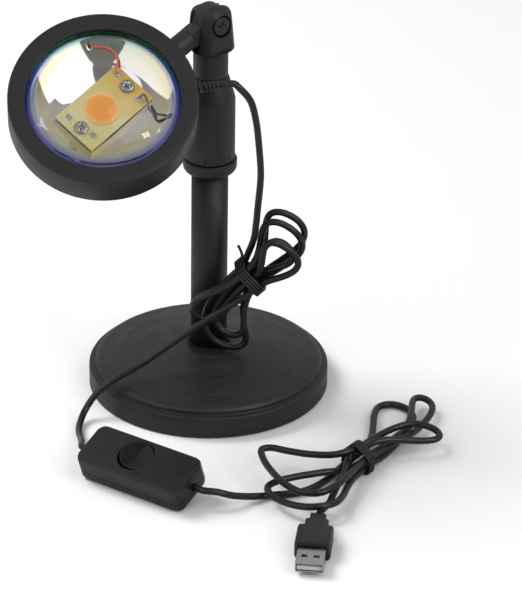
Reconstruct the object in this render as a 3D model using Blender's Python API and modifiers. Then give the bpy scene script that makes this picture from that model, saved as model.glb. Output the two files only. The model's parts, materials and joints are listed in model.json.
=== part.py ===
"""Sunset lamp in metres, +Z up, origin under the middle of the base, seen from -Y.

A weighted base carries a column. The column's upper sleeve turns and carries a fork, the arm tilts
in the fork, and the round head twists on the arm. The lead hangs from the head to a tied hank, runs
over the base to an in-line rocker switch, and on through a second hank to a USB plug.
"""
import math

import bmesh
import bpy
import numpy as np
from mathutils import Matrix, Vector

# Fits that several pieces share
GAP = 0.0003                # what touches on the real lamp lies this far apart
FILM_GAP = 0.0001           # under the thin pieces on the light board
OVERRUN = 0.002             # how far a cutter runs past what it cuts
SLIDE_FIT = 0.0003          # round a pin, a screw or a tube in its hole

# Base
BASE_RADIUS = 0.0550
SKIRT_TOP = 0.0102          # height of the vertical skirt
SKIRT_LIFT = 0.0004         # the pad lifts the skirt off the table by this
SKIRT_ROUND = 0.0006
STEP_RUN = 0.0028           # the narrow ledge between skirt and upper disc
DISC_RISE = 0.0036          # from the skirt's top to the upper disc's edge
DISC_ROUND = 0.0016
CONE_RISE = 0.0072          # from the disc's edge to the foot of the column
COVER_WALL = 0.0020
RING_SHARES = (0.766, 0.589, 0.411, 0.284)    # radii of the fine rings in the cone
RING_STEP = 0.0003
PAD_THICKNESS = 0.0012
PAD_CLEARANCE = 0.0005
WEIGHT_HOLE = 0.0128
SOCKET_DEPTH = 0.0135       # how deep the column stands in the cover
SOCKET_FLOOR = 0.0020
SOCKET_WALL = 0.0022

# Column
TUBE_RADIUS = 0.0083
TUBE_WALL = 0.0013
COLLAR_RADIUS = 0.0122
COLLAR_TOP = 0.1140
COLLAR_HEIGHT = 0.0066
COLLAR_ROUND = 0.0039
FOOT_PLUG_LENGTH = 0.0150
BASE_SCREW_RADIUS = 0.0015
BASE_SCREW_HEAD = 0.0040
BASE_SCREW_HEAD_THICKNESS = 0.0022
BASE_SCREW_LENGTH = 0.0135
BASE_WASHER_RADIUS = 0.0065
BASE_WASHER_THICKNESS = 0.0008

# Swivel on top of the column
JOURNAL_RADIUS = 0.0061
JOURNAL_HEIGHT = 0.0123
CORE_DEPTH = 0.0170         # how far the spigot is pressed into the tube
SLEEVE_RADIUS = 0.0112
SLEEVE_WALL = 0.0013
SLEEVE_LENGTH = 0.0304
SHOULDER_HEIGHT = 0.0098
SHOULDER_BULGE_SHARE = 0.53
NECK_RADIUS = 0.0078
SPIGOT_RADIUS = 0.0066
BUSH_HEIGHT = 0.0113
SWIVEL_WASHER_RADIUS = 0.0086
SWIVEL_WASHER_THICKNESS = 0.0008
SWIVEL_SCREW_RADIUS = 0.0015
SWIVEL_SCREW_HEAD = 0.0034
SWIVEL_SCREW_HEAD_THICKNESS = 0.0020
SWIVEL_SCREW_LENGTH = 0.0120
DIMPLE_COUNT = 6
DIMPLE_RADIUS = 0.0013
DIMPLE_DEPTH = 0.0005
DIMPLE_HEIGHT = 0.0024      # above the sleeve's lower edge
DIMPLE_TURN = math.radians(-77.0)

# Fork
PIVOT_RISE = 0.0142         # of the hinge above the neck
HINGE_HEADING = math.radians(-52.53)     # the hinge axis, counted from +X
NECK_LENGTH = 0.0112
LIP_RADIUS = 0.0105
LIP_RISE = 0.0020
FORK_RADIUS = 0.0092        # at the top of the fork's straight side
FORK_ROUND = 0.0065
FORK_ABOVE_PIVOT = 0.0086
SPIGOT_LENGTH = 0.0115
SLOT_WIDTH = 0.0080
SLOT_DEPTH = 0.0136         # below the pivot
FLAT_OFFSET = 0.0088        # of the milled flat from the column's axis
FLAT_LEDGE = 0.0122         # its ledge, below the pivot
REAR_CHEEK_DROP = 0.0035    # of the rear cheek's top, below the front one's
RING_NUT_RADIUS = 0.0089
RING_NUT_HEIGHT = 0.0030
RING_NUT_DROP = 0.0083      # its top, below the sleeve's upper edge

# Hinge screw through the fork
HINGE_SCREW_RADIUS = 0.0022
HINGE_HEAD_RADIUS = 0.0044
HINGE_HEAD_THICKNESS = 0.0020
HINGE_HEAD_SINK = 0.0006    # the head's face, below the flat
HINGE_SINK_MARGIN = 0.0008  # round the head in its sink
CROSS_WIDTH = 0.0011
CROSS_LENGTH = 0.0052
CROSS_DEPTH = 0.0012
HINGE_NUT_RADIUS = 0.0040
HINGE_NUT_THICKNESS = 0.0021
HINGE_NUT_OFFSET = 0.0071   # the nut's inner face, from the column's axis
HINGE_WASHER_THICKNESS = 0.0006

# Arm
ARM_DROP = math.radians(23.79)          # below level
ARM_LENGTH = 0.02257                    # from the pivot to the drum
ARM_RADIUS = 0.0050
ARM_TAPER_START = 0.0118
ARM_TAPER_LENGTH = 0.0016
TONGUE_RADIUS = 0.0079
TONGUE_INSET_SHARE = 0.96               # of the tongue's thickness, inside the barrel
ARM_SPIGOT_RADIUS = 0.0030
ARM_SPIGOT_LENGTH = 0.0052
ARM_WASHER_RADIUS = 0.0055
ARM_WASHER_THICKNESS = 0.0008
ARM_NUT_RADIUS = 0.0044
ARM_NUT_THICKNESS = 0.0028

# Head
HEAD_RADIUS = 0.04143
HEAD_THICKNESS = 0.0176
HEAD_TWIST = math.radians(59.66)        # of the face about the arm, from the hinge axis
ARM_ENTRY = math.radians(43.4)          # where the arm meets the drum, round its face
HEAD_WALL = 0.0022
FRONT_THICKNESS = 0.0023
FRONT_BEVEL = 0.0005
REAR_ROUND = 0.0012
FRONT_RING_WIDTH = 0.00783              # from the drum's edge to the lens
LENS_WALL = 0.0018
LENS_RISE = 0.0125
LENS_FLANGE = 0.0019        # how far the flange reaches under the front ring
LENS_FLANGE_THICKNESS = 0.0014
REFLECTOR_WALL = 0.0008
REFLECTOR_DEPTH = 0.0036
REFLECTOR_FLOOR_SHARE = 0.66
REFLECTOR_RIM = 0.0021
SINK_THICKNESS = 0.0026
SINK_RIB_THICKNESS = 0.0012
SINK_RIB_MARGIN = 0.0071                # from the plate's edge to the ribs' circle
SINK_RIB_COUNT = 7
BACK_THICKNESS = 0.0018
BACK_INSET = 0.0006
BOSS_RADIUS = 0.0024
BOSS_INSET = 0.00423                    # of the screws' circle from the drum's edge
BOSS_LENGTH = 0.0106
BOSS_ANGLES = [ARM_ENTRY + math.radians(turn) for turn in (30, 150, 270)]
BACK_SCREW_RADIUS = 0.0010
BACK_SCREW_HEAD = 0.0017
BACK_SCREW_HEAD_THICKNESS = 0.0010
BACK_SCREW_LENGTH = 0.0080

# Light board, in the plane of the face: across to the right, then up
BOARD_SHARES = (1.092, 0.664)           # length and width, of the lens opening's radius
BOARD_THICKNESS = 0.0016
BOARD_TURN = math.radians(45.5)
BOARD_ACROSS = 0.0004
BOARD_UP = -0.0016
PHOSPHOR_SHARE = 0.238                  # its radius, of the lens opening's
PHOSPHOR_THICKNESS = 0.0006
PHOSPHOR_SHIFT_SHARE = -0.035
BOARD_SCREW_SHARES = ((0.385, 0.01), (-0.385, -0.02))
BOARD_SCREW_RADIUS = 0.0010
BOARD_SCREW_HEAD = 0.0022
BOARD_SCREW_HEAD_THICKNESS = 0.0009
PAD_SHARES = ((0.415, 0.33), (0.36, -0.355), (-0.39, 0.31), (-0.35, -0.30))
PAD_LENGTH = 0.0030
PAD_WIDTH = 0.0022
PAD_HEIGHT = 0.0003
WIRE_RADIUS = 0.0005
WIRE_HOLE = 0.0009
WIRE_INSET = 0.0074                     # where a wire points straight at its hole in the dish
WIRE_APART_SHARE = 1.35                 # of the wire's radius, either side of the lead's middle
WIRE_WAY_SHARES = (0.3, 0.35, 0.4)      # of the way out over the dish, and up to the drum's hole
RED_TURN = math.radians(103.0)          # where each wire passes the dish's rim
BLACK_TURN = math.radians(-10.0)
RED_LAGS = [math.radians(lag) for lag in (8, 5, 9, 14)]
BLACK_LAGS = [math.radians(lag) for lag in (2, 8)]

# Ribbed strain relief on the head
BOOT_TURN = math.radians(10.0)          # round the face
BOOT_FORWARD = 0.0060                   # of the drum's middle plane
BOOT_LENGTH = 0.0107
BOOT_RADIUS = 0.00215
BOOT_SLOT_RADIUS = 0.00165
BOOT_FLANGE = 0.0029
BOOT_SLOTS = 5
BOOT_HOLE = 0.0014
BOOT_HOLE_DROP = 0.0010
BOOT_RIB_SHARES = (0.12, 0.42, 0.54)    # of a rib's pitch, where its slot gets deep, rises and ends

# Lead
CORD_RADIUS = 0.00155
CORD_SPACING = 0.0068                   # between the points of a free stretch
HANK_SPACING = 0.0056
STRAND_GAP = 0.0006                     # between neighbouring strands of a hank
BULGE_SHARE = 2.6                       # brings the widest spot of a lobe to its half width
ROUND_TIP = 6.8                         # keeps the fold of a narrow lobe round
LEVEL_SHARE = 0.6                       # how far out a lobe has reached its own level
NEIGHBOUR_SHARE = 7.0                   # in cord radii, so that a bend isn't taken for two strands
HELD_SHARE = 8.0                        # in cord radii, what stays as it is at the lead's ends
EASE_ROUNDS = 120
TABLE_GAP = 0.0001
TIE_RADIUS = 0.00045
TIE_CLEARANCE = 0.0004
TIE_REACH = 0.0120                      # strands this near the tie's middle pass through it

# In-line switch
SWITCH_LENGTH = 0.0552
SWITCH_WIDTH = 0.0226
SWITCH_HEIGHT = 0.0128
SWITCH_WALL = 0.0015
SWITCH_SEAM = 0.0044
SWITCH_ROUND = 0.0014
SWITCH_CORNER = 0.0040                  # of the case's upright corners
SWITCH_X = -0.0277
SWITCH_Y = -0.0965
SWITCH_HEADING = math.radians(-34.5)
SWITCH_ROLL = math.radians(20.0)        # the lead's stiffness holds its back up off the table
SWITCH_CORD_OFFSET = 0.0005
SWITCH_CORD_HEIGHT = 0.0056
ROCKER_RADIUS = 0.0077
ROCKER_GAP = 0.0007
ROCKER_SHIFT_SHARES = (-0.035, 0.040)   # of the switch's length and width
ROCKER_PIVOT_DROP = 0.0031              # below the case's top
ROCKER_UNDERSIDE = 0.0026               # below the pivot
ROCKER_RIDGE = 0.0040                   # above the pivot
ROCKER_EDGE = 0.0033
ROCKER_TILT = math.radians(11.0)        # either way from level
ROCKER_PIN_RADIUS = 0.0009
EAR_THICKNESS = 0.0012
EAR_LENGTH = 0.0050
EAR_DROP = 0.0042
CONTACT_LENGTH = 0.0110
CONTACT_WIDTH = 0.0040
CONTACT_THICKNESS = 0.0005
CONTACT_SPACING = 0.0090
POST_RADIUS = 0.0024
POST_SHARES = ((-0.37, -0.27), (0.37, 0.27))
SWITCH_SCREW_RADIUS = 0.0009
SWITCH_SCREW_HEAD = 0.0018
SWITCH_SCREW_HEAD_THICKNESS = 0.0008
SWITCH_SCREW_LENGTH = 0.0065
SWITCH_SCREW_SINK = 0.0016

# USB plug
PLUG_X = 0.0480
PLUG_Y = -0.1305
PLUG_HEADING = math.radians(-97.0)
RELIEF_LENGTHS = (0.0055, 0.0055)
RELIEF_WIDTHS = (0.0070, 0.0100)
RELIEF_HEIGHTS = (0.0060, 0.0074)
GRIP_LENGTH = 0.0165
GRIP_WIDTH = 0.0155
GRIP_HEIGHT = 0.0086
GRIP_ROUND = 0.0014
SHELL_LENGTH = 0.0160
SHELL_SEAT = 0.0030                     # of the shell inside the grip
SHELL_WIDTH = 0.0120
SHELL_HEIGHT = 0.0045
SHELL_WALL = 0.0004
LATCH_HOLE = 0.0024
LATCH_FROM_MOUTH = 0.0062
LATCH_SPACING = 0.0052
TONGUE_HEIGHT = 0.0018
TONGUE_RECESS = 0.0010
CONTACT_COUNT = 4
CONTACT_STRIP = 0.0010
CONTACT_STRIP_LENGTH = 0.0075
CONTACT_STRIP_HEIGHT = 0.0002

# Routes of the lead, and the loops of its hanks
DROP_ROUTE = [
    (0.0129, -0.0305), (0.0173, -0.0302), (0.0198, -0.0298), (0.0217, -0.0288), (0.0225, -0.0276),
    (0.0221, -0.0264), (0.0215, -0.0248), (0.0211, -0.0225), (0.0205, -0.0192)]
# How high the lead hangs at each of these, between the hank's start and the boot's tip
DROP_FOOT = 0.0817
DROP_HEIGHT_SHARES = (0.9743, 0.9071, 0.7995, 0.6051, 0.4499, 0.3423, 0.2323, 0.1174, 0)
TO_SWITCH_ROUTE = [
    (0.0043, -0.0225, 0.0483), (-0.0060, -0.0235, 0.0405), (-0.0190, -0.0260, 0.0312),
    (-0.0312, -0.0290, 0.0232), (-0.0415, -0.0320, 0.0180), (-0.0500, -0.0345, 0.0120),
    (-0.0556, -0.0385, 0.0050), (-0.0577, -0.0455, 0.0022), (-0.0579, -0.0530, 0.0024),
    (-0.0568, -0.0615, 0.0038), (-0.0560, -0.0700, 0.0068)]
FROM_SWITCH_ROUTE = [
    (0.0040, -0.1162, 0.0087), (0.0110, -0.1142, 0.0059), (0.0195, -0.1100, 0.0031),
    (0.0290, -0.1066, 0.0018), (0.0397, -0.1046, 0.0017), (0.0500, -0.0975, 0.0017)]
TO_PLUG_ROUTE = [
    (0.0614, -0.0965, 0.0075), (0.0593, -0.1023, 0.0070), (0.0560, -0.1118, 0.0065),
    (0.0528, -0.1200, 0.0058)]

UPPER_TIE = Vector((0.0189, -0.0146, 0.0615))
UPPER_LEAN = math.radians(45.0)         # of the hank's axis, to the right of upright
LOWER_TIE = Vector((0.0666, -0.0815, 0.0048))
LOWER_HEADING = math.radians(52.0)      # of the hank's axis, counted from +X

# Each loop end: side, reach, half width, lean, (column, layer) where it starts, level it flies at
UPPER_LOBES = [
    (-1, 0.0395, 0.0080, math.radians(-30), (-1, 0), 0),
    (1, 0.0335, 0.0086, math.radians(-18), (1, 0), 0),
    (-1, 0.0315, 0.0062, math.radians(-23), (0, 0), 0.8),
    (1, 0.0300, 0.0082, math.radians(-12), (1, 1), 1),
    (-1, 0.0315, 0.0052, math.radians(4), (-1, 1), 1.6),
    (1, 0.0235, 0.0055, math.radians(5), (0, 1), 2),
    (-1, 0.0300, 0.0050, math.radians(6), (-1, 2), 2.4),
    (1, 0.0240, 0.0080, math.radians(-9), (0, 2), 3)]
UPPER_LAST = (1, 2)
LOWER_LOBES = [
    (1, 0.0590, 0.0085, math.radians(-17), (-1, 0), -0.3),
    (-1, 0.0515, 0.0140, math.radians(6), (0, 0), 0.7),
    (1, 0.0645, 0.0048, math.radians(-12), (1, 0), 0.3),
    (-1, 0.0425, 0.0215, math.radians(31), (1, 1), 1.7),
    (1, 0.0415, 0.0065, math.radians(25), (0, 1), 1)]
LOWER_LAST = (-1, 1)

# Colour, roughness, metallic
FINISHES = {
    "satin_black": ((0.018, 0.018, 0.019), 0.42, 0.0),
    "gloss_black": ((0.012, 0.012, 0.013), 0.22, 0.0),
    "foam": ((0.020, 0.020, 0.020), 0.90, 0.0),
    "steel": ((0.46, 0.46, 0.47), 0.38, 1.0),
    "aluminium": ((0.62, 0.62, 0.63), 0.32, 1.0),
    "mirror": ((0.80, 0.80, 0.82), 0.08, 1.0),
    "nylon": ((0.70, 0.69, 0.65), 0.50, 0.0),
    "cord_black": ((0.016, 0.016, 0.017), 0.45, 0.0),
    "lens": ((0.72, 0.80, 0.92), 0.03, 0.0),
    "board": ((0.66, 0.58, 0.30), 0.40, 0.2),
    "phosphor": ((0.90, 0.42, 0.08), 0.55, 0.0),
    "red_wire": ((0.70, 0.10, 0.06), 0.45, 0.0),
    "black_wire": ((0.03, 0.03, 0.05), 0.45, 0.0),
    "brass": ((0.72, 0.52, 0.22), 0.30, 1.0),
    "plug_white": ((0.82, 0.82, 0.80), 0.45, 0.0),
}

FINE_STEPS = 48
ROUND_STEPS = 32
SMALL_STEPS = 16


# Scene and helpers
for old in list(bpy.data.objects):
    bpy.data.objects.remove(old, do_unlink=True)
PARTS = bpy.data.collections.new("sunset_lamp")
CUTTERS = bpy.data.collections.new("cutters")
for collection in (PARTS, CUTTERS):
    bpy.context.scene.collection.children.link(collection)


def axis_empty(name, matrix, parent=None):
    empty = bpy.data.objects.new(name, None)
    PARTS.objects.link(empty)
    empty.parent = parent
    empty.matrix_local = matrix
    return empty


def finished(finish):
    material = bpy.data.materials.get(finish)
    if material is None:
        colour, roughness, metallic = FINISHES[finish]
        material = bpy.data.materials.new(finish)
        material.use_nodes = True
        shader = material.node_tree.nodes["Principled BSDF"]
        shader.inputs["Base Color"].default_value = (*colour, 1)
        shader.inputs["Roughness"].default_value = roughness
        shader.inputs["Metallic"].default_value = metallic
    return material


def add_object(name, data, parent, at=(0, 0, 0), turn=(0, 0, 0), finish=None):
    """A part when it has a finish, otherwise a shape that cuts or joins parts."""
    piece = bpy.data.objects.new(name, data)
    piece.parent = parent
    piece.location = at
    piece.rotation_euler = turn
    if finish is None:
        CUTTERS.objects.link(piece)
        piece.hide_render = True
        piece.display_type = "WIRE"
    else:
        PARTS.objects.link(piece)
        data.materials.append(finished(finish))
    return piece


def mesh_from(name, build):
    mesh = bpy.data.meshes.new(name)
    work = bmesh.new()
    build(work)
    work.to_mesh(mesh)
    work.free()
    return mesh


def turned(name, outline, parent, finish=None, steps=ROUND_STEPS, ring=False, at=(0, 0, 0), turn=(0, 0, 0)):
    """A turned solid: outline of (radius, height), down the outer side, then up the bore of a ring."""
    mesh = bpy.data.meshes.new(name)
    edges = [(i, i + 1) for i in range(len(outline) - 1)]
    if ring:
        edges.append((len(outline) - 1, 0))
    mesh.from_pydata([(radius, 0, height) for radius, height in outline], edges, [])
    piece = add_object(name, mesh, parent, at, turn, finish)
    screw = piece.modifiers.new("turn", "SCREW")
    screw.axis = "Z"
    screw.angle = math.tau
    screw.steps = steps
    screw.render_steps = steps
    screw.use_merge_vertices = True
    screw.merge_threshold = 0.00001
    screw.use_smooth_shade = False
    return piece


def block(name, size, parent, at=(0, 0, 0), finish=None, turn=(0, 0, 0), rounding=0, corner=0):
    def build(work):
        bmesh.ops.create_cube(work, size=1)
        bmesh.ops.scale(work, vec=size, verts=work.verts)
        if corner:
            upright = [edge for edge in work.edges if edge.verts[0].co.xy == edge.verts[1].co.xy]
            bmesh.ops.bevel(work, geom=upright, offset=corner, segments=3, profile=0.5, affect="EDGES")
    piece = add_object(name, mesh_from(name, build), parent, at, turn, finish)
    if rounding:
        bevel = piece.modifiers.new("round", "BEVEL")
        bevel.width = rounding
        bevel.segments = 2
        bevel.limit_method = "ANGLE"
    return piece


def rod(name, radius, length, parent, at=(0, 0, 0), finish=None, turn=(0, 0, 0), sides=SMALL_STEPS):
    """A cylinder along local Z, centred on its place."""
    def build(work):
        bmesh.ops.create_cone(work, cap_ends=True, segments=sides, radius1=radius, radius2=radius,
                              depth=length)
    return add_object(name, mesh_from(name, build), parent, at, turn, finish)


def rods(name, radius, length, places, parent, finish=None, sides=SMALL_STEPS):
    """Several cylinders along local Z in one object."""
    def build(work):
        for place in places:
            matrix = Matrix.Translation(place)
            bmesh.ops.create_cone(work, cap_ends=True, segments=sides, radius1=radius, radius2=radius,
                                  depth=length, matrix=matrix)
    return add_object(name, mesh_from(name, build), parent, finish=finish)


def boolean(target, other, operation="DIFFERENCE"):
    modifier = target.modifiers.new(other.name, "BOOLEAN")
    modifier.operation = operation
    modifier.object = other
    return modifier


def tube(name, points, radius, parent=None, finish=None, resolution=2, swell=None):
    """A capped tube through points, whose radius swell may vary."""
    curve = bpy.data.curves.new(name, "CURVE")
    curve.dimensions = "3D"
    curve.bevel_depth = radius
    curve.bevel_resolution = resolution
    curve.use_fill_caps = True
    spline = curve.splines.new("POLY")
    spline.points.add(len(points) - 1)
    for i, point in enumerate(points):
        spline.points[i].co = (*point, 1)
        spline.points[i].radius = swell[i] if swell else 1
    return add_object(name, curve, parent, finish=finish)


def arc(centre, radius, first, last, count):
    """Points (radius, height) on an arc, angles in degrees from the outward direction."""
    angles = [math.radians(first + (last - first) * i / count) for i in range(count + 1)]
    return [(centre[0] + radius * math.cos(a), centre[1] + radius * math.sin(a)) for a in angles]


# Stand
FOOT_TOP = SKIRT_TOP + DISC_RISE + CONE_RISE + GAP
SOCKET_TOP_OF_FLOOR = FOOT_TOP - SOCKET_DEPTH
SOCKET_UNDERSIDE = SOCKET_TOP_OF_FLOOR - SOCKET_FLOOR
SOCKET_BORE = TUBE_RADIUS + SLIDE_FIT
DISC_RADIUS = BASE_RADIUS - STEP_RUN
CONE_RADIUS = DISC_RADIUS - DISC_ROUND
CONE_FOOT = SKIRT_TOP + DISC_RISE
INNER_SKIRT = BASE_RADIUS - COVER_WALL


def cone_height(radius):
    """Height of the cover's top on the plain cone."""
    share = (CONE_RADIUS - radius) / (CONE_RADIUS - SOCKET_BORE)
    return CONE_FOOT + CONE_RISE * share


def base_cover():
    outline = [(SOCKET_BORE, FOOT_TOP)]
    for share in reversed(RING_SHARES):
        radius = share * BASE_RADIUS
        outline.append((radius - RING_STEP, cone_height(radius) + RING_STEP))
        outline.append((radius, cone_height(radius)))
    outline += arc((CONE_RADIUS, CONE_FOOT - DISC_ROUND), DISC_ROUND, 90, 0, 2)
    outline += [(DISC_RADIUS, SKIRT_TOP + SKIRT_ROUND), (DISC_RADIUS + SKIRT_ROUND, SKIRT_TOP)]
    outline += arc((BASE_RADIUS - SKIRT_ROUND, SKIRT_TOP - SKIRT_ROUND), SKIRT_ROUND, 90, 0, 2)
    outline += [(BASE_RADIUS, SKIRT_LIFT), (INNER_SKIRT, SKIRT_LIFT)]
    outline += [(INNER_SKIRT, SKIRT_TOP - COVER_WALL), (CONE_RADIUS - COVER_WALL, SKIRT_TOP - COVER_WALL)]
    outline.append((CONE_RADIUS - COVER_WALL, cone_height(CONE_RADIUS) - COVER_WALL))
    boss = SOCKET_BORE + SOCKET_WALL
    outline += [(boss, cone_height(boss) - COVER_WALL), (boss, SOCKET_UNDERSIDE)]
    hole = BASE_SCREW_RADIUS + SLIDE_FIT
    outline += [(hole, SOCKET_UNDERSIDE), (hole, SOCKET_TOP_OF_FLOOR), (SOCKET_BORE, SOCKET_TOP_OF_FLOOR)]
    turned("base_cover", outline, None, "satin_black", FINE_STEPS, ring=True)


def base_inside():
    rod("base_pad", INNER_SKIRT - PAD_CLEARANCE, PAD_THICKNESS, None, (0, 0, PAD_THICKNESS / 2), "foam",
        sides=FINE_STEPS)
    low = PAD_THICKNESS + GAP
    high = SKIRT_TOP - COVER_WALL - GAP
    edge = INNER_SKIRT - PAD_CLEARANCE
    turned("base_weight", [(WEIGHT_HOLE, high), (edge, high), (edge, low), (WEIGHT_HOLE, low)], None,
           "steel", ROUND_STEPS, ring=True)
    washer_top = SOCKET_UNDERSIDE - GAP
    washer_low = washer_top - BASE_WASHER_THICKNESS
    bore = BASE_SCREW_RADIUS + SLIDE_FIT
    turned("base_washer", [(bore, washer_top), (BASE_WASHER_RADIUS, washer_top),
                           (BASE_WASHER_RADIUS, washer_low), (bore, washer_low)], None, "steel", SMALL_STEPS,
           ring=True)
    head_top = washer_low - GAP
    head_low = head_top - BASE_SCREW_HEAD_THICKNESS
    shank_top = head_top + BASE_SCREW_LENGTH
    turned("base_screw", [(0, shank_top), (BASE_SCREW_RADIUS, shank_top), (BASE_SCREW_RADIUS, head_top),
                          (BASE_SCREW_HEAD, head_top), (BASE_SCREW_HEAD, head_low), (0, head_low)], None,
           "steel", SMALL_STEPS)


TUBE_FOOT = SOCKET_TOP_OF_FLOOR + GAP
TUBE_TOP = COLLAR_TOP - GAP
TUBE_BORE = TUBE_RADIUS - TUBE_WALL


def column():
    turned("lower_tube", [(TUBE_BORE, TUBE_TOP), (TUBE_RADIUS, TUBE_TOP), (TUBE_RADIUS, TUBE_FOOT),
                          (TUBE_BORE, TUBE_FOOT)], None, "satin_black", ROUND_STEPS, ring=True)
    plug = TUBE_BORE - SLIDE_FIT
    plug_top = TUBE_FOOT + FOOT_PLUG_LENGTH
    hole = BASE_SCREW_RADIUS + SLIDE_FIT
    turned("foot_plug", [(hole, plug_top), (plug, plug_top), (plug, TUBE_FOOT), (hole, TUBE_FOOT)], None,
           "nylon", SMALL_STEPS, ring=True)
    bore = TUBE_RADIUS + SLIDE_FIT
    low = COLLAR_TOP - COLLAR_HEIGHT
    outline = [(bore, COLLAR_TOP), (COLLAR_RADIUS, COLLAR_TOP)]
    outline += arc((COLLAR_RADIUS - COLLAR_ROUND + SLIDE_FIT, low + COLLAR_ROUND), COLLAR_ROUND - SLIDE_FIT,
                   0, -80, 3)
    outline.append((bore, low))
    turned("collar_ring", outline, None, "satin_black", ROUND_STEPS, ring=True)
    high = TUBE_TOP + JOURNAL_HEIGHT
    screw_bore = SWIVEL_SCREW_RADIUS + SLIDE_FIT
    depth = high - SWIVEL_SCREW_LENGTH - OVERRUN
    turned("swivel_core", [(screw_bore, high), (JOURNAL_RADIUS, high), (JOURNAL_RADIUS, TUBE_TOP),
                           (plug, TUBE_TOP), (plug, TUBE_TOP - CORE_DEPTH), (0, TUBE_TOP - CORE_DEPTH),
                           (0, depth), (screw_bore, depth)], None, "steel", SMALL_STEPS, ring=True)
    washer_low = high + GAP
    washer_top = washer_low + SWIVEL_WASHER_THICKNESS
    turned("swivel_washer", [(screw_bore, washer_top), (SWIVEL_WASHER_RADIUS, washer_top),
                             (SWIVEL_WASHER_RADIUS, washer_low), (screw_bore, washer_low)], None, "steel",
           SMALL_STEPS, ring=True)
    head_low = washer_top + GAP
    head_top = head_low + SWIVEL_SCREW_HEAD_THICKNESS
    tip = head_low - SWIVEL_SCREW_LENGTH
    turned("swivel_screw", [(0, head_top), (SWIVEL_SCREW_HEAD, head_top), (SWIVEL_SCREW_HEAD, head_low),
                            (SWIVEL_SCREW_RADIUS, head_low), (SWIVEL_SCREW_RADIUS, tip), (0, tip)], None,
           "steel", SMALL_STEPS)


# Turret
SLEEVE_LOW = COLLAR_TOP + GAP
SLEEVE_HIGH = SLEEVE_LOW + SLEEVE_LENGTH
SLEEVE_TOP = SLEEVE_HIGH + SHOULDER_HEIGHT
NECK_LOW = SLEEVE_TOP + GAP
NECK_TOP = NECK_LOW + NECK_LENGTH
PIVOT_HEIGHT = NECK_TOP + PIVOT_RISE
FORK_TOP = PIVOT_HEIGHT + FORK_ABOVE_PIVOT


def turret():
    axis = axis_empty("swivel_axis", Matrix.Identity(4))
    bore = SLEEVE_RADIUS - SLEEVE_WALL
    hole = SPIGOT_RADIUS + SLIDE_FIT
    middle = (SLEEVE_HIGH + SHOULDER_HEIGHT * SHOULDER_BULGE_SHARE,
              (SLEEVE_RADIUS + NECK_RADIUS) / 2 - SLIDE_FIT)
    outline = [(hole, SLEEVE_TOP), (NECK_RADIUS + SLIDE_FIT, SLEEVE_TOP), (middle[1], middle[0]),
               (SLEEVE_RADIUS - SLIDE_FIT, SLEEVE_HIGH), (SLEEVE_RADIUS, SLEEVE_HIGH - SLEEVE_WALL),
               (SLEEVE_RADIUS, SLEEVE_LOW), (bore, SLEEVE_LOW), (bore, SLEEVE_HIGH - SLEEVE_WALL),
               (middle[1] - SLEEVE_WALL, middle[0] - SLEEVE_WALL / 2), (hole, SLEEVE_TOP - SLEEVE_WALL)]
    sleeve = turned("upper_sleeve", outline, axis, "satin_black", ROUND_STEPS, ring=True)

    def dents(work):
        for i in range(DIMPLE_COUNT):
            angle = DIMPLE_TURN + math.tau * i / DIMPLE_COUNT
            reach = SLEEVE_RADIUS + DIMPLE_RADIUS - DIMPLE_DEPTH
            place = (reach * math.cos(angle), reach * math.sin(angle), SLEEVE_LOW + DIMPLE_HEIGHT)
            bmesh.ops.create_uvsphere(work, u_segments=8, v_segments=6, radius=DIMPLE_RADIUS,
                                      matrix=Matrix.Translation(place))
    boolean(sleeve, add_object("staking_dimples", mesh_from("staking_dimples", dents), axis))

    low = SLEEVE_LOW + GAP
    high = low + BUSH_HEIGHT
    inner = JOURNAL_RADIUS + SLIDE_FIT
    outer = bore - SLIDE_FIT
    turned("sleeve_bush", [(inner, high), (outer, high), (outer, low), (inner, low)], axis, "nylon",
           SMALL_STEPS, ring=True)
    nut_top = SLEEVE_TOP - RING_NUT_DROP
    nut_low = nut_top - RING_NUT_HEIGHT
    turned("knuckle_nut", [(hole, nut_top), (RING_NUT_RADIUS, nut_top), (RING_NUT_RADIUS, nut_low),
                           (hole, nut_low)], axis, "steel", SMALL_STEPS, ring=True)
    return axis


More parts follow.
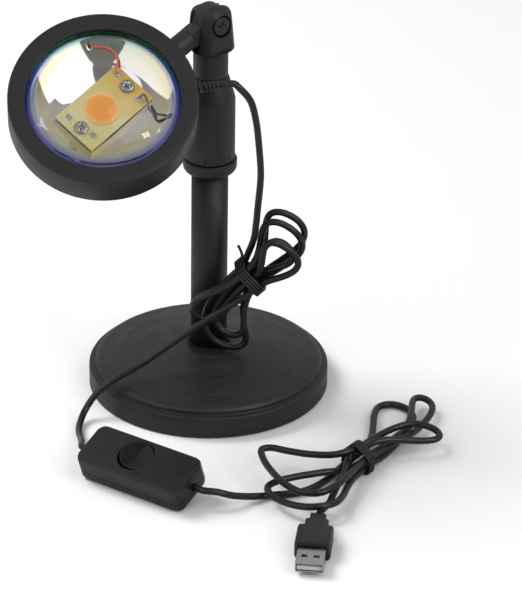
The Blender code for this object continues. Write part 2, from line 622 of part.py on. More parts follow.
def knuckle(axis):
    lip = NECK_TOP + LIP_RISE
    centre = (FORK_RADIUS - FORK_ROUND, FORK_TOP - FORK_ROUND)
    outline = [(0, FORK_TOP)] + arc(centre, FORK_ROUND, 90, 0, 5)
    outline += [(LIP_RADIUS, lip), (NECK_RADIUS, NECK_TOP), (NECK_RADIUS, NECK_LOW),
                (SPIGOT_RADIUS, NECK_LOW), (SPIGOT_RADIUS, NECK_LOW - SPIGOT_LENGTH),
                (0, NECK_LOW - SPIGOT_LENGTH)]
    fork = turned("knuckle", outline, axis, "gloss_black", ROUND_STEPS)
    hinge = axis_empty("fork_axis", Matrix.Translation((0, 0, PIVOT_HEIGHT)) @
                       Matrix.Rotation(HINGE_HEADING, 4, "Z"), axis)
    wide = 2 * (LIP_RADIUS + OVERRUN)
    slot_height = SLOT_DEPTH + FORK_ABOVE_PIVOT + OVERRUN
    slot = block("fork_slot", (SLOT_WIDTH, wide, slot_height), hinge,
                 (0, 0, slot_height / 2 - SLOT_DEPTH))
    flat_height = FLAT_LEDGE + FORK_ABOVE_PIVOT + OVERRUN
    flat = block("milled_flat", (wide, wide, flat_height), hinge,
                 (FLAT_OFFSET + wide / 2, 0, flat_height / 2 - FLAT_LEDGE))
    step = block("rear_step", (wide, wide, 2 * REAR_CHEEK_DROP), hinge, (-wide / 2, 0, FORK_ABOVE_PIVOT))
    boolean(fork, slot)
    boolean(fork, flat)
    boolean(fork, step)
    along = (0, math.pi / 2, 0)
    head_face = FLAT_OFFSET - HINGE_HEAD_SINK
    head_seat = head_face - HINGE_HEAD_THICKNESS
    sink_length = FLAT_OFFSET + OVERRUN - head_seat + GAP
    head_sink = rod("head_sink", HINGE_HEAD_RADIUS + HINGE_SINK_MARGIN, sink_length, hinge,
                    (head_seat - GAP + sink_length / 2, 0, 0), turn=along)
    bore = rod("hinge_bore", HINGE_SCREW_RADIUS + SLIDE_FIT, wide, hinge, turn=along)
    nut_seat = HINGE_NUT_OFFSET - 2 * GAP - HINGE_WASHER_THICKNESS
    nut_pocket = rod("nut_pocket", HINGE_NUT_RADIUS + SLIDE_FIT, wide, hinge,
                     (-nut_seat - wide / 2, 0, 0), turn=along)
    for cutter in (head_sink, bore, nut_pocket):
        boolean(fork, cutter)

    shank_end = HINGE_NUT_OFFSET + HINGE_NUT_THICKNESS
    screw = turned("hinge_screw", [(0, head_face), (HINGE_HEAD_RADIUS, head_face),
                                   (HINGE_HEAD_RADIUS, head_seat), (HINGE_SCREW_RADIUS, head_seat),
                                   (HINGE_SCREW_RADIUS, -shank_end), (0, -shank_end)], hinge, "steel",
                   SMALL_STEPS, turn=along)

    for i, size in enumerate(((CROSS_WIDTH, CROSS_LENGTH), (CROSS_LENGTH, CROSS_WIDTH))):
        bar = block(f"cross_bar_{i}", (2 * CROSS_DEPTH, *size), hinge, (head_face, 0, 0))
        boolean(screw, bar)

    inner = HINGE_SCREW_RADIUS + SLIDE_FIT
    washer = HINGE_NUT_OFFSET - GAP
    turned("hinge_washer", [(inner, -washer + HINGE_WASHER_THICKNESS),
                            (HINGE_NUT_RADIUS, -washer + HINGE_WASHER_THICKNESS),
                            (HINGE_NUT_RADIUS, -washer), (inner, -washer)], hinge, "steel", SMALL_STEPS,
           ring=True, turn=along)
    nut = rod("hinge_nut", HINGE_NUT_RADIUS, HINGE_NUT_THICKNESS, hinge,
              (-HINGE_NUT_OFFSET - HINGE_NUT_THICKNESS / 2, 0, 0), "steel", along, sides=6)
    boolean(nut, rod("hinge_nut_bore", inner, HINGE_NUT_THICKNESS + 2 * OVERRUN, hinge,
                     (-HINGE_NUT_OFFSET - HINGE_NUT_THICKNESS / 2, 0, 0), turn=along))


# Arm: X along the arm, Y on the hinge axis
ARM_REACH = ARM_LENGTH + HEAD_RADIUS
DRUM_INSIDE = ARM_LENGTH + HEAD_WALL


def arm(axis):
    heading = Matrix.Rotation(HINGE_HEADING - math.pi / 2, 4, "Z")
    tilt = axis_empty("tilt_axis", Matrix.Translation((0, 0, PIVOT_HEIGHT)) @ heading @
                      Matrix.Rotation(ARM_DROP, 4, "Y"), axis)
    tongue_half = SLOT_WIDTH / 2 - GAP
    curve = bpy.data.curves.new("tongue", "CURVE")
    curve.dimensions = "2D"
    curve.fill_mode = "BOTH"
    curve.extrude = tongue_half
    inset = tongue_half * TONGUE_INSET_SHARE
    neck = math.asin(inset / TONGUE_RADIUS)
    steps = FINE_STEPS // 2
    angles = [neck + (math.tau - 2 * neck) * i / steps for i in range(steps + 1)]
    outline = [(TONGUE_RADIUS * math.cos(a), TONGUE_RADIUS * math.sin(a)) for a in angles]
    root = ARM_TAPER_START + ARM_TAPER_LENGTH
    outline += [(root, -inset), (root, inset)]
    spline = curve.splines.new("POLY")
    spline.points.add(len(outline) - 1)
    for i, (x, y) in enumerate(outline):
        spline.points[i].co = (x, y, 0, 1)
    spline.use_cyclic_u = True
    flat = add_object("tongue_outline", curve, tilt, turn=(math.pi / 2, 0, 0))
    bpy.context.view_layer.update()
    mesh = bpy.data.meshes.new_from_object(flat.evaluated_get(bpy.context.evaluated_depsgraph_get()))
    mesh.materials.clear()
    work = bmesh.new()
    work.from_mesh(mesh)
    bmesh.ops.remove_doubles(work, verts=work.verts, dist=0.00001)
    bmesh.ops.recalc_face_normals(work, faces=work.faces)
    work.to_mesh(mesh)
    work.free()
    bpy.data.objects.remove(flat, do_unlink=True)
    piece = add_object("arm", mesh, tilt, turn=(math.pi / 2, 0, 0), finish="satin_black")

    along = (0, math.pi / 2, 0)
    seat = ARM_LENGTH - GAP
    tip = DRUM_INSIDE + ARM_SPIGOT_LENGTH
    narrow = tongue_half - GAP
    barrel = turned("barrel", [(0, tip), (ARM_SPIGOT_RADIUS, tip), (ARM_SPIGOT_RADIUS, seat),
                               (ARM_RADIUS, seat), (ARM_RADIUS, root), (narrow, ARM_TAPER_START),
                               (0, ARM_TAPER_START)], tilt, steps=SMALL_STEPS, turn=along)
    boolean(piece, barrel, "UNION")
    boolean(piece, rod("tongue_bore", HINGE_SCREW_RADIUS + SLIDE_FIT, 2 * SLOT_WIDTH, tilt,
                       turn=(math.pi / 2, 0, 0)))
    return tilt


# Head: X across the face, Y up the face, Z out of it
FRONT = HEAD_THICKNESS / 2
UNDER_RING = FRONT - FRONT_THICKNESS
DRUM_BORE = HEAD_RADIUS - HEAD_WALL
LENS_OPENING = HEAD_RADIUS - FRONT_RING_WIDTH
BOSS_CIRCLE = HEAD_RADIUS - BOSS_INSET
SINK_RADIUS = LENS_OPENING - GAP
SINK_RIB_RADIUS = SINK_RADIUS - SINK_RIB_MARGIN
FLANGE_LOW = UNDER_RING - GAP - LENS_FLANGE_THICKNESS
REFLECTOR_TOP = FLANGE_LOW - GAP
REFLECTOR_FLOOR = REFLECTOR_TOP - REFLECTOR_DEPTH
SINK_TOP = REFLECTOR_FLOOR - REFLECTOR_WALL - GAP
BACK_OUTSIDE = -FRONT + BACK_INSET
BACK_INSIDE = BACK_OUTSIDE + BACK_THICKNESS
BOARD_LOW = REFLECTOR_FLOOR + GAP
BOARD_TOP = BOARD_LOW + BOARD_THICKNESS
BOARD_LENGTH, BOARD_WIDTH = (share * LENS_OPENING for share in BOARD_SHARES)
WIRE_LEVEL = REFLECTOR_TOP - REFLECTOR_WALL - WIRE_RADIUS - GAP


def around(radius, angle, height):
    return Vector((radius * math.cos(angle), radius * math.sin(angle), height))


def head_axis(tilt):
    twist = math.cos(HEAD_TWIST), math.sin(HEAD_TWIST)
    face = Matrix(((-1, 0, 0, ARM_REACH), (0, -twist[1], twist[0], 0), (0, twist[0], twist[1], 0),
                   (0, 0, 0, 1)))
    return axis_empty("twist_axis", face @ Matrix.Rotation(-ARM_ENTRY, 4, "Z"), tilt)


def head_shell(head):
    outline = [(LENS_OPENING, FRONT), (HEAD_RADIUS - FRONT_BEVEL, FRONT), (HEAD_RADIUS, FRONT - FRONT_BEVEL)]
    outline += arc((HEAD_RADIUS - REAR_ROUND, REAR_ROUND - FRONT), REAR_ROUND, 0, -90, 3)
    outline += [(DRUM_BORE, -FRONT), (DRUM_BORE, UNDER_RING), (LENS_OPENING, UNDER_RING)]
    shell = turned("head_shell", outline, head, "gloss_black", FINE_STEPS, ring=True)
    boss_low = BACK_INSIDE + GAP
    places = [around(BOSS_CIRCLE, turn, boss_low + BOSS_LENGTH / 2) for turn in BOSS_ANGLES]
    boolean(shell, rods("screw_bosses", BOSS_RADIUS, BOSS_LENGTH, places, head, sides=12), "UNION")
    boolean(shell, rods("boss_bores", BACK_SCREW_RADIUS + SLIDE_FIT, BOSS_LENGTH + 2 * OVERRUN, places,
                        head, sides=10))
    middle = (DRUM_BORE + HEAD_RADIUS) / 2
    length = HEAD_WALL + 2 * OVERRUN
    arm_hole = rod("arm_hole", ARM_SPIGOT_RADIUS + SLIDE_FIT, length, head, around(middle, ARM_ENTRY, 0),
                   turn=(0, math.pi / 2, ARM_ENTRY))
    lead_hole = rod("lead_hole", BOOT_HOLE, length, head,
                    around(middle, BOOT_TURN, BOOT_FORWARD - BOOT_HOLE_DROP),
                    turn=(0, math.pi / 2, BOOT_TURN), sides=12)
    boolean(shell, arm_hole)
    boolean(shell, lead_hole)


def head_back(head):
    radius = DRUM_BORE - SLIDE_FIT
    cover = rod("back_cover", radius, BACK_THICKNESS, head, (0, 0, (BACK_OUTSIDE + BACK_INSIDE) / 2),
                "satin_black", sides=FINE_STEPS)
    low = BACK_OUTSIDE - GAP
    places = [around(BOSS_CIRCLE, turn, BACK_INSIDE) for turn in BOSS_ANGLES]
    boolean(cover, rods("cover_holes", BACK_SCREW_RADIUS + SLIDE_FIT, 2 * BACK_THICKNESS + OVERRUN, places,
                        head, sides=10))

    for i, turn in enumerate(BOSS_ANGLES):
        outline = screw_outline(BACK_SCREW_HEAD, BACK_SCREW_HEAD_THICKNESS, BACK_SCREW_RADIUS,
                                BACK_SCREW_LENGTH)
        turned(f"back_screw_{i + 1}", outline, head, "steel", 12, at=around(BOSS_CIRCLE, turn, low),
               turn=(math.pi, 0, 0))


def screw_outline(head, thickness, shank, length):
    """A screw with the underside of its head at zero, its head up and its shank down."""
    return [(0, thickness), (head, thickness), (head, 0), (shank, 0), (shank, -length), (0, -length)]


def arm_fixing(head):
    """Washer and nut on the arm's spigot, inside the drum wall."""
    edge = math.sqrt(DRUM_BORE ** 2 - ARM_WASHER_RADIUS ** 2) - GAP
    radial = (0, math.pi / 2, ARM_ENTRY)
    bore = ARM_SPIGOT_RADIUS + SLIDE_FIT
    turned("arm_washer", [(bore, edge), (ARM_WASHER_RADIUS, edge),
                          (ARM_WASHER_RADIUS, edge - ARM_WASHER_THICKNESS),
                          (bore, edge - ARM_WASHER_THICKNESS)], head, "steel", SMALL_STEPS, ring=True,
           turn=radial)
    nut_top = edge - ARM_WASHER_THICKNESS - GAP
    place = around(nut_top - ARM_NUT_THICKNESS / 2, ARM_ENTRY, 0)
    nut = rod("arm_nut", ARM_NUT_RADIUS, ARM_NUT_THICKNESS, head, place, "steel", radial, sides=6)
    boolean(nut, rod("arm_nut_bore", bore, ARM_NUT_THICKNESS + 2 * OVERRUN, head, place, turn=radial))


def reflector(head):
    rim = SINK_RADIUS + GAP
    lip = rim - REFLECTOR_RIM
    floor = lip * REFLECTOR_FLOOR_SHARE
    count = 4
    inside = []
    for i in range(count + 1):
        share = i / count
        radius = lip + (floor - lip) * share
        inside.append((radius, REFLECTOR_FLOOR + REFLECTOR_DEPTH * (1 - share) ** 2))
    outside = [(radius, height - REFLECTOR_WALL) for radius, height in reversed(inside[1:])]
    outline = [(0, REFLECTOR_FLOOR)] + list(reversed(inside)) + [(rim, REFLECTOR_TOP)]
    outline += [(rim, REFLECTOR_TOP - REFLECTOR_WALL), (lip, REFLECTOR_TOP - REFLECTOR_WALL)]
    outline += list(reversed(outside)) + [(0, REFLECTOR_FLOOR - REFLECTOR_WALL)]
    dish = turned("reflector", outline, head, "mirror", ROUND_STEPS)
    reach = rim - floor
    for name, turn in (("red_wire_hole", RED_TURN), ("black_wire_hole", BLACK_TURN)):
        boolean(dish, rod(name, WIRE_HOLE, 2 * reach, head, around(rim, turn, WIRE_LEVEL),
                          turn=(0, math.pi / 2, turn), sides=10))
    boolean(dish, rods("board_screw_holes", BOARD_SCREW_RADIUS + SLIDE_FIT, 2 * REFLECTOR_DEPTH,
                       [on_board(share, REFLECTOR_FLOOR) for share in BOARD_SCREW_SHARES], head, sides=10))


def on_board(share, height):
    """A place on the light board from its shares of the board's length and width."""
    x, y = share[0] * BOARD_LENGTH, share[1] * BOARD_WIDTH
    across = x * math.cos(BOARD_TURN) - y * math.sin(BOARD_TURN)
    up = x * math.sin(BOARD_TURN) + y * math.cos(BOARD_TURN)
    return Vector((BOARD_ACROSS + across, BOARD_UP + up, height))


def heat_sink(head):
    plate = rod("heat_sink", SINK_RADIUS, SINK_THICKNESS, head, (0, 0, SINK_TOP - SINK_THICKNESS / 2),
                "aluminium", sides=ROUND_STEPS)
    rib_low = BACK_INSIDE + GAP
    rib_top = SINK_TOP - SINK_THICKNESS / 2

    def ribs(work):
        for i in range(SINK_RIB_COUNT):
            offset = SINK_RIB_RADIUS * (2 * (i + 0.5) / SINK_RIB_COUNT - 1)
            length = 2 * math.sqrt(SINK_RIB_RADIUS ** 2 - offset ** 2)
            made = bmesh.ops.create_cube(work, size=1)
            bmesh.ops.scale(work, vec=(SINK_RIB_THICKNESS, length, rib_top - rib_low), verts=made["verts"])
            bmesh.ops.translate(work, vec=(offset, 0, (rib_top + rib_low) / 2), verts=made["verts"])
    boolean(plate, add_object("sink_ribs", mesh_from("sink_ribs", ribs), head), "UNION")
    places = [on_board(share, SINK_TOP) for share in BOARD_SCREW_SHARES]
    boolean(plate, rods("sink_taps", BOARD_SCREW_RADIUS + SLIDE_FIT, SINK_THICKNESS, places, head, sides=10))


def light_board(head):
    turn = (0, 0, BOARD_TURN)
    middle = (BOARD_LOW + BOARD_TOP) / 2
    board = block("led_board", (BOARD_LENGTH, BOARD_WIDTH, BOARD_THICKNESS), head,
                  (BOARD_ACROSS, BOARD_UP, middle), "board", turn)
    places = [on_board(share, middle) for share in BOARD_SCREW_SHARES]
    boolean(board, rods("board_holes", BOARD_SCREW_RADIUS + SLIDE_FIT, 2 * BOARD_THICKNESS, places, head,
                        sides=10))
    low = BOARD_TOP + FILM_GAP
    rod("led_phosphor", PHOSPHOR_SHARE * LENS_OPENING, PHOSPHOR_THICKNESS, head,
        on_board((PHOSPHOR_SHIFT_SHARE, 0), low + PHOSPHOR_THICKNESS / 2), "phosphor", sides=28)
    seat = BOARD_TOP + GAP
    shank = seat - SINK_TOP + SINK_THICKNESS / 2 - 2 * GAP
    for i, share in enumerate(BOARD_SCREW_SHARES):
        turned(f"led_screw_{i + 1}", screw_outline(BOARD_SCREW_HEAD, BOARD_SCREW_HEAD_THICKNESS,
                                                   BOARD_SCREW_RADIUS, shank), head, "steel", 12,
               at=on_board(share, seat))
    for i, share in enumerate(PAD_SHARES):
        pad = block(f"solder_pad_{i + 1}", (PAD_WIDTH, PAD_LENGTH, 2 * PAD_HEIGHT), head,
                    on_board(share, BOARD_TOP), turn=turn)
        boolean(board, pad, "UNION")


def feed_wires(head):
    over = BOARD_TOP + PAD_HEIGHT + GAP + WIRE_RADIUS
    wall_hole = BOOT_FORWARD - BOOT_HOLE_DROP
    below = BACK_INSIDE + GAP + 2 * WIRE_RADIUS
    rim = SINK_RADIUS + GAP
    channel = (rim + DRUM_BORE) / 2
    inner = rim - WIRE_INSET
    under = (SINK_RIB_RADIUS + SINK_RADIUS) / 2
    apart = WIRE_APART_SHARE * WIRE_RADIUS / DRUM_BORE
    over_dish, up_drum, down_drum = WIRE_WAY_SHARES
    red_pad = on_board(PAD_SHARES[0], over)
    black_pad = on_board(PAD_SHARES[1], over)
    red = [red_pad, red_pad + Vector((0, BOARD_THICKNESS, WIRE_RADIUS)),
           around(lerp(red_pad.xy.length, rim, over_dish), RED_TURN - RED_LAGS[0], over),
           around(inner, RED_TURN, WIRE_LEVEL + GAP), around(rim - REFLECTOR_RIM, RED_TURN, WIRE_LEVEL),
           around(rim + WIRE_RADIUS, RED_TURN, WIRE_LEVEL),
           around(channel, RED_TURN - RED_LAGS[1], SINK_TOP),
           around(channel, RED_TURN - RED_LAGS[2], below)]
    steps = 5
    for i in range(steps + 1):
        red.append(around(under, lerp(RED_TURN - RED_LAGS[3], BOOT_TURN + apart, i / steps), below))
    red += [around(channel, BOOT_TURN + apart, lerp(below, wall_hole, up_drum)),
            around(DRUM_BORE - 2 * WIRE_RADIUS, BOOT_TURN + apart, wall_hole),
            around(HEAD_RADIUS - GAP, BOOT_TURN + apart, wall_hole)]
    black = [black_pad, black_pad + Vector((BOARD_THICKNESS, -BOARD_THICKNESS, WIRE_RADIUS)),
             around(lerp(black_pad.xy.length, rim, over_dish), BLACK_TURN + BLACK_LAGS[0], over),
             around(inner, BLACK_TURN, WIRE_LEVEL + GAP),
             around(rim - REFLECTOR_RIM, BLACK_TURN, WIRE_LEVEL),
             around(rim + WIRE_RADIUS, BLACK_TURN, WIRE_LEVEL),
             around(channel, BLACK_TURN + BLACK_LAGS[1], lerp(WIRE_LEVEL, wall_hole, down_drum)),
             around(DRUM_BORE - 2 * WIRE_RADIUS, BOOT_TURN - apart, wall_hole),
             around(HEAD_RADIUS - GAP, BOOT_TURN - apart, wall_hole)]
    tube("red_wire", smooth(red, 4 * WIRE_RADIUS), WIRE_RADIUS, head, "red_wire", 0)
    tube("black_wire", smooth(black, 4 * WIRE_RADIUS), WIRE_RADIUS, head, "black_wire", 0)


def lens_dome(head):
    edge = LENS_OPENING - GAP
    flange = LENS_OPENING + LENS_FLANGE
    radius = (edge ** 2 + LENS_RISE ** 2) / (2 * LENS_RISE)
    centre = UNDER_RING + LENS_RISE - radius
    outer = math.degrees(math.asin((UNDER_RING - centre) / radius))
    inner_radius = radius - LENS_WALL
    inner = math.degrees(math.asin((FLANGE_LOW - centre) / inner_radius))
    outline = arc((0, centre), radius, 90, outer, 6)
    outline += [(edge, UNDER_RING - GAP), (flange, UNDER_RING - GAP), (flange, FLANGE_LOW)]
    outline += arc((0, centre), inner_radius, inner, 90, 4)
    outline[0] = (0, centre + radius)
    outline[-1] = (0, centre + inner_radius)
    turned("lens_dome", outline, head, "lens", FINE_STEPS)


def cord_boot(head):
    start = HEAD_RADIUS + GAP
    spots = [(start, BOOT_FLANGE), (start + BOOT_RADIUS / 3, BOOT_FLANGE),
             (start + BOOT_RADIUS / 2, BOOT_RADIUS)]
    rib = (BOOT_LENGTH - BOOT_RADIUS / 2) / (BOOT_SLOTS + 0.5)
    for i in range(BOOT_SLOTS):
        spot = start + BOOT_RADIUS / 2 + rib * (i + 0.5)
        deep, rise, end = (spot + rib * share for share in BOOT_RIB_SHARES)
        spots += [(spot, BOOT_RADIUS), (deep, BOOT_SLOT_RADIUS), (rise, BOOT_SLOT_RADIUS),
                  (end, BOOT_RADIUS)]
    spots.append((start + BOOT_LENGTH, BOOT_RADIUS))
    points = [around(spot, BOOT_TURN, BOOT_FORWARD) for spot, _ in spots]
    tube("cord_boot", points, BOOT_RADIUS, head, "cord_black", 2, [size / BOOT_RADIUS for _, size in spots])


# Lead
def lerp(first, last, share):
    return first + (last - first) * share


def smooth(points, spacing):
    """Even points on a smooth curve that runs through the given ones."""
    spots = [Vector(point) for point in points]
    spots = [2 * spots[0] - spots[1]] + spots + [2 * spots[-1] - spots[-2]]
    fine = []
    for a, b, c, d in zip(spots, spots[1:], spots[2:], spots[3:]):
        t0, t1 = 0, math.sqrt((b - a).length)
        t2 = t1 + math.sqrt((c - b).length)
        t3 = t2 + math.sqrt((d - c).length)
        for i in range(20):
            t = t1 + (t2 - t1) * i / 20
            ab = a.lerp(b, (t - t0) / (t1 - t0))
            bc = b.lerp(c, (t - t1) / (t2 - t1))
            cd = c.lerp(d, (t - t2) / (t3 - t2))
            first = ab.lerp(bc, (t - t0) / (t2 - t0))
            second = bc.lerp(cd, (t - t1) / (t3 - t1))
            fine.append(first.lerp(second, (t - t1) / (t2 - t1)))
    fine.append(spots[-2])
    return evenly(fine, spacing)


def lengths_along(points):
    total = [0]
    for a, b in zip(points, points[1:]):
        total.append(total[-1] + (b - a).length)
    return total


def point_at(points, total, reach):
    i = int(np.searchsorted(total, reach, side="right")) - 1
    i = max(0, min(i, len(points) - 2))
    return points[i].lerp(points[i + 1], (reach - total[i]) / (total[i + 1] - total[i]))


def evenly(points, spacing, first=0, last=None):
    """Points a spacing apart between two distances along a fine line."""
    total = lengths_along(points)
    last = total[-1] if last is None else last
    count = max(1, round((last - first) / spacing))
    return [point_at(points, total, lerp(first, last, i / count)) for i in range(count + 1)]


def stretch(line, first, last, spacing):
    """One piece of the lead: its ends run straight for one diameter, half a gap short of the cut."""
    total = lengths_along(line)
    diameter = 2 * CORD_RADIUS
    inner = evenly(line, spacing, first + diameter, last - diameter)
    start = point_at(line, total, first)
    end = point_at(line, total, last)
    start += (inner[0] - start).normalized() * GAP / 2
    end += (inner[-1] - end).normalized() * GAP / 2
    return [start] + inner + [end]


def hank_loops(tie, out, across, stack, lobes, last, count):
    """Points of a tied hank: every lobe runs out from the tie and back, drawn in alike at the waist."""
    pitch = 2 * CORD_RADIUS + STRAND_GAP
    points = []
    ends = [lobe[4] for lobe in lobes[1:]] + [last]
    for lobe, (next_column, next_layer) in zip(lobes, ends):
        side, reach, half_width, lean, (column, layer), level = lobe
        sign = 1 if column > next_column else -1
        fullness = min(1, ROUND_TIP * half_width / reach)
        for i in range(count):
            share = i / count
            angle = math.pi * share
            away = math.sin(angle)
            bulge = BULGE_SHARE * half_width * math.cos(angle) * away ** 2
            sideways = pitch * lerp(column, next_column, smoothstep(share)) + sign * bulge
            outward = side * reach * away ** fullness
            turn = lean * away
            held = lerp(layer, next_layer, smoothstep(share))
            place = tie + stack * pitch * lerp(held, level, smoothstep(away / LEVEL_SHARE))
            place += out * (outward * math.cos(turn) - sideways * math.sin(turn))
            place += across * (sideways * math.cos(turn) + outward * math.sin(turn))
            points.append(place)
    points.append(tie + stack * pitch * last[1] + across * pitch * last[0])
    return points


def smoothstep(share):
    share = max(0, min(1, share))
    return share * share * (3 - 2 * share)


def as_rows(points):
    return np.array([tuple(point) for point in points])


def separations(rows, spacing):
    """Vectors and distances between all points of a line, leaving out near neighbours along it."""
    vectors = rows[:, None] - rows[None, :]
    apart = np.linalg.norm(vectors, axis=2)
    steps = np.abs(np.subtract.outer(np.arange(len(rows)), np.arange(len(rows))))
    apart[steps * spacing < NEIGHBOUR_SHARE * CORD_RADIUS] = np.inf
    return vectors, apart


def eased(line, keep_off):
    """The line with its turns pushed apart until they clear each other, its ends held."""
    spacing = CORD_RADIUS
    rows = as_rows(evenly(line, spacing))
    total = lengths_along(line)
    count = len(rows)
    along = np.linspace(0, total[-1], count)
    held = HELD_SHARE * CORD_RADIUS
    free = ((along > held) & (along < total[-1] - held))[:, None]
    home = rows.copy()
    clear = 2 * CORD_RADIUS + 2 * STRAND_GAP
    for _ in range(EASE_ROUNDS):
        vectors, apart = separations(rows, spacing)
        short = np.clip(clear - apart, 0, None)
        push = (vectors / apart[:, :, None] * short[:, :, None]).sum(axis=1) / 4
        moved = rows + np.where(free, push, 0) - home
        for _ in range(2):
            moved[1:-1] = (moved[:-2] + 2 * moved[1:-1] + moved[2:]) / 4
        rows = np.where(free, keep_off(home + moved), home)
    return [Vector(row) for row in rows]


def least_self_gap(points):
    """Least clear distance between two turns of one tube, on points along it."""
    spacing = CORD_RADIUS / 2
    _, apart = separations(as_rows(evenly(points, spacing)), spacing)
    return apart.min() - 2 * CORD_RADIUS


def tie_band(name, hank, tie, out, across, stack):
    """A closed thin wrap with rounded corners round all the strands that pass the tie."""
    spots = []
    for point in evenly(hank, CORD_RADIUS / 4):
        away = point - tie
        if away.length < TIE_REACH and abs(away.dot(out)) < CORD_RADIUS / 2:
            spots.append((away.dot(across), away.dot(stack)))
    low = np.array(spots).min(axis=0)
    high = np.array(spots).max(axis=0)
    corner = CORD_RADIUS + TIE_CLEARANCE + TIE_RADIUS
    points = []
    corners = ((high[0], high[1]), (low[0], high[1]), (low[0], low[1]), (high[0], low[1]))
    for quarter, (x, y) in enumerate(corners):
        for i in range(5):
            angle = math.pi / 2 * (quarter + i / 4)
            points.append(tie + across * (x + corner * math.cos(angle)) +
                          stack * (y + corner * math.sin(angle)))
    band = tube(name, points, TIE_RADIUS, None, "cord_black", 1)
    band.data.splines[0].use_cyclic_u = True


def off_the_stand(rows):
    """Rows moved out of the column and up from the cover."""
    clear = CORD_RADIUS + GAP
    away = np.linalg.norm(rows[:, :2], axis=1)
    near = away < TUBE_RADIUS + clear
    rows[near, :2] *= ((TUBE_RADIUS + clear) / away[near])[:, None]
    share = np.clip((CONE_RADIUS - away) / (CONE_RADIUS - SOCKET_BORE), 0, 1)
    ground = np.where(away < CONE_RADIUS, CONE_FOOT + CONE_RISE * share + clear, clear)
    rows[:, 2] = np.maximum(rows[:, 2], ground)
    return rows


def off_the_table(rows):
    """Rows lifted off the table, by the tie's thickness too where it goes round them."""
    away = np.linalg.norm(rows[:, :2] - np.array(LOWER_TIE.xy), axis=1)
    lift = (TIE_CLEARANCE + 2 * TIE_RADIUS) * np.clip(2 - away / TIE_REACH * 2, 0, 1)
    rows[:, 2] = np.maximum(rows[:, 2], CORD_RADIUS + TABLE_GAP + lift)
    return rows


def upper_lead():
    out = Vector((math.sin(UPPER_LEAN), 0, math.cos(UPPER_LEAN)))
    across = Vector((math.cos(UPPER_LEAN), 0, -math.sin(UPPER_LEAN)))
    stack = Vector((0, -1, 0))
    pitch = 2 * CORD_RADIUS + STRAND_GAP
    loops = hank_loops(UPPER_TIE - stack * pitch, out, across, stack, UPPER_LOBES, UPPER_LAST, 14)
    bpy.context.view_layer.update()
    face = bpy.data.objects["twist_axis"].matrix_world
    boot_tip = HEAD_RADIUS + 2 * GAP + BOOT_LENGTH
    leave = [face @ around(boot_tip + step * CORD_RADIUS, BOOT_TURN, BOOT_FORWARD) for step in (0, 2, 3)]
    drop = [Vector((x, y, lerp(DROP_FOOT, leave[0].z, share)))
            for (x, y), share in zip(DROP_ROUTE, DROP_HEIGHT_SHARES)]
    arrive = [switch_place(-1, step * CORD_RADIUS) for step in (3, 2, 0)]
    line = smooth(leave + drop + loops + TO_SWITCH_ROUTE + arrive, CORD_RADIUS / 2)
    line = eased(line, off_the_stand)
    lead_in = nearest_length(line, drop[-1])
    lead_out = nearest_length(line, TO_SWITCH_ROUTE[0])
    end = lengths_along(line)[-1]
    cord("cord_drop", stretch(line, 0, lead_in, CORD_SPACING), 2)
    hank = stretch(line, lead_in, lead_out, HANK_SPACING)
    cord("hank_upper", hank, 1)
    cord("cord_to_switch", stretch(line, lead_out, end, CORD_SPACING), 2)
    tie_band("hank_upper_tie", hank, UPPER_TIE, out, across, stack)
    print("hank_upper least self-gap", round(least_self_gap(hank) * 1000, 2), "mm, lead", round(end, 3), "m")


def lower_lead():
    out = Vector((math.cos(LOWER_HEADING), math.sin(LOWER_HEADING), 0))
    across = Vector((math.sin(LOWER_HEADING), -math.cos(LOWER_HEADING), 0))
    stack = Vector((0, 0, 1))
    pitch = 2 * CORD_RADIUS + STRAND_GAP
    loops = hank_loops(LOWER_TIE - stack * pitch / 2, out, across, stack, LOWER_LOBES, LOWER_LAST, 14)
    leave = [switch_place(1, step * CORD_RADIUS) for step in (0, 2, 3)]
    into = Vector((math.cos(PLUG_HEADING), math.sin(PLUG_HEADING), 0))
    plug = Vector((PLUG_X, PLUG_Y, GRIP_HEIGHT / 2))
    arrive = [plug - into * (GAP + step * CORD_RADIUS) for step in (3, 2, 0)]
    line = smooth(leave + FROM_SWITCH_ROUTE + loops + TO_PLUG_ROUTE + arrive, CORD_RADIUS / 2)
    line = eased(line, off_the_table)
    lead_in = nearest_length(line, FROM_SWITCH_ROUTE[-1])
    lead_out = nearest_length(line, TO_PLUG_ROUTE[2])
    end = lengths_along(line)[-1]
    cord("cord_from_switch", stretch(line, 0, lead_in, CORD_SPACING), 2)
    hank = stretch(line, lead_in, lead_out, HANK_SPACING)
    cord("hank_lower", hank, 1)
    cord("cord_to_plug", stretch(line, lead_out, end, CORD_SPACING), 2)
    tie_band("hank_lower_tie", hank, LOWER_TIE, out, across, stack)
    print("hank_lower least self-gap", round(least_self_gap(hank) * 1000, 2), "mm, lead", round(end, 3), "m")


def nearest_length(line, place):
    total = lengths_along(line)
    distances = [(point - Vector(place)).length for point in line]
    return total[distances.index(min(distances))]


def cord(name, points, resolution):
    tube(name, points, CORD_RADIUS, None, "cord_black", resolution)


# Switch: X along the case, Z up
def switch_frame():
    place = Matrix.Translation((SWITCH_X, SWITCH_Y, SWITCH_WIDTH / 2 * math.sin(SWITCH_ROLL)))
    return place @ Matrix.Rotation(SWITCH_HEADING, 4, "Z") @ Matrix.Rotation(SWITCH_ROLL, 4, "X")


def switch_place(end, away):
    """On the cord's line at one end of the case, some way out of it."""
    reach = SWITCH_LENGTH / 2 + GAP + away
    return switch_frame() @ Vector((end * reach, SWITCH_CORD_OFFSET, SWITCH_CORD_HEIGHT))


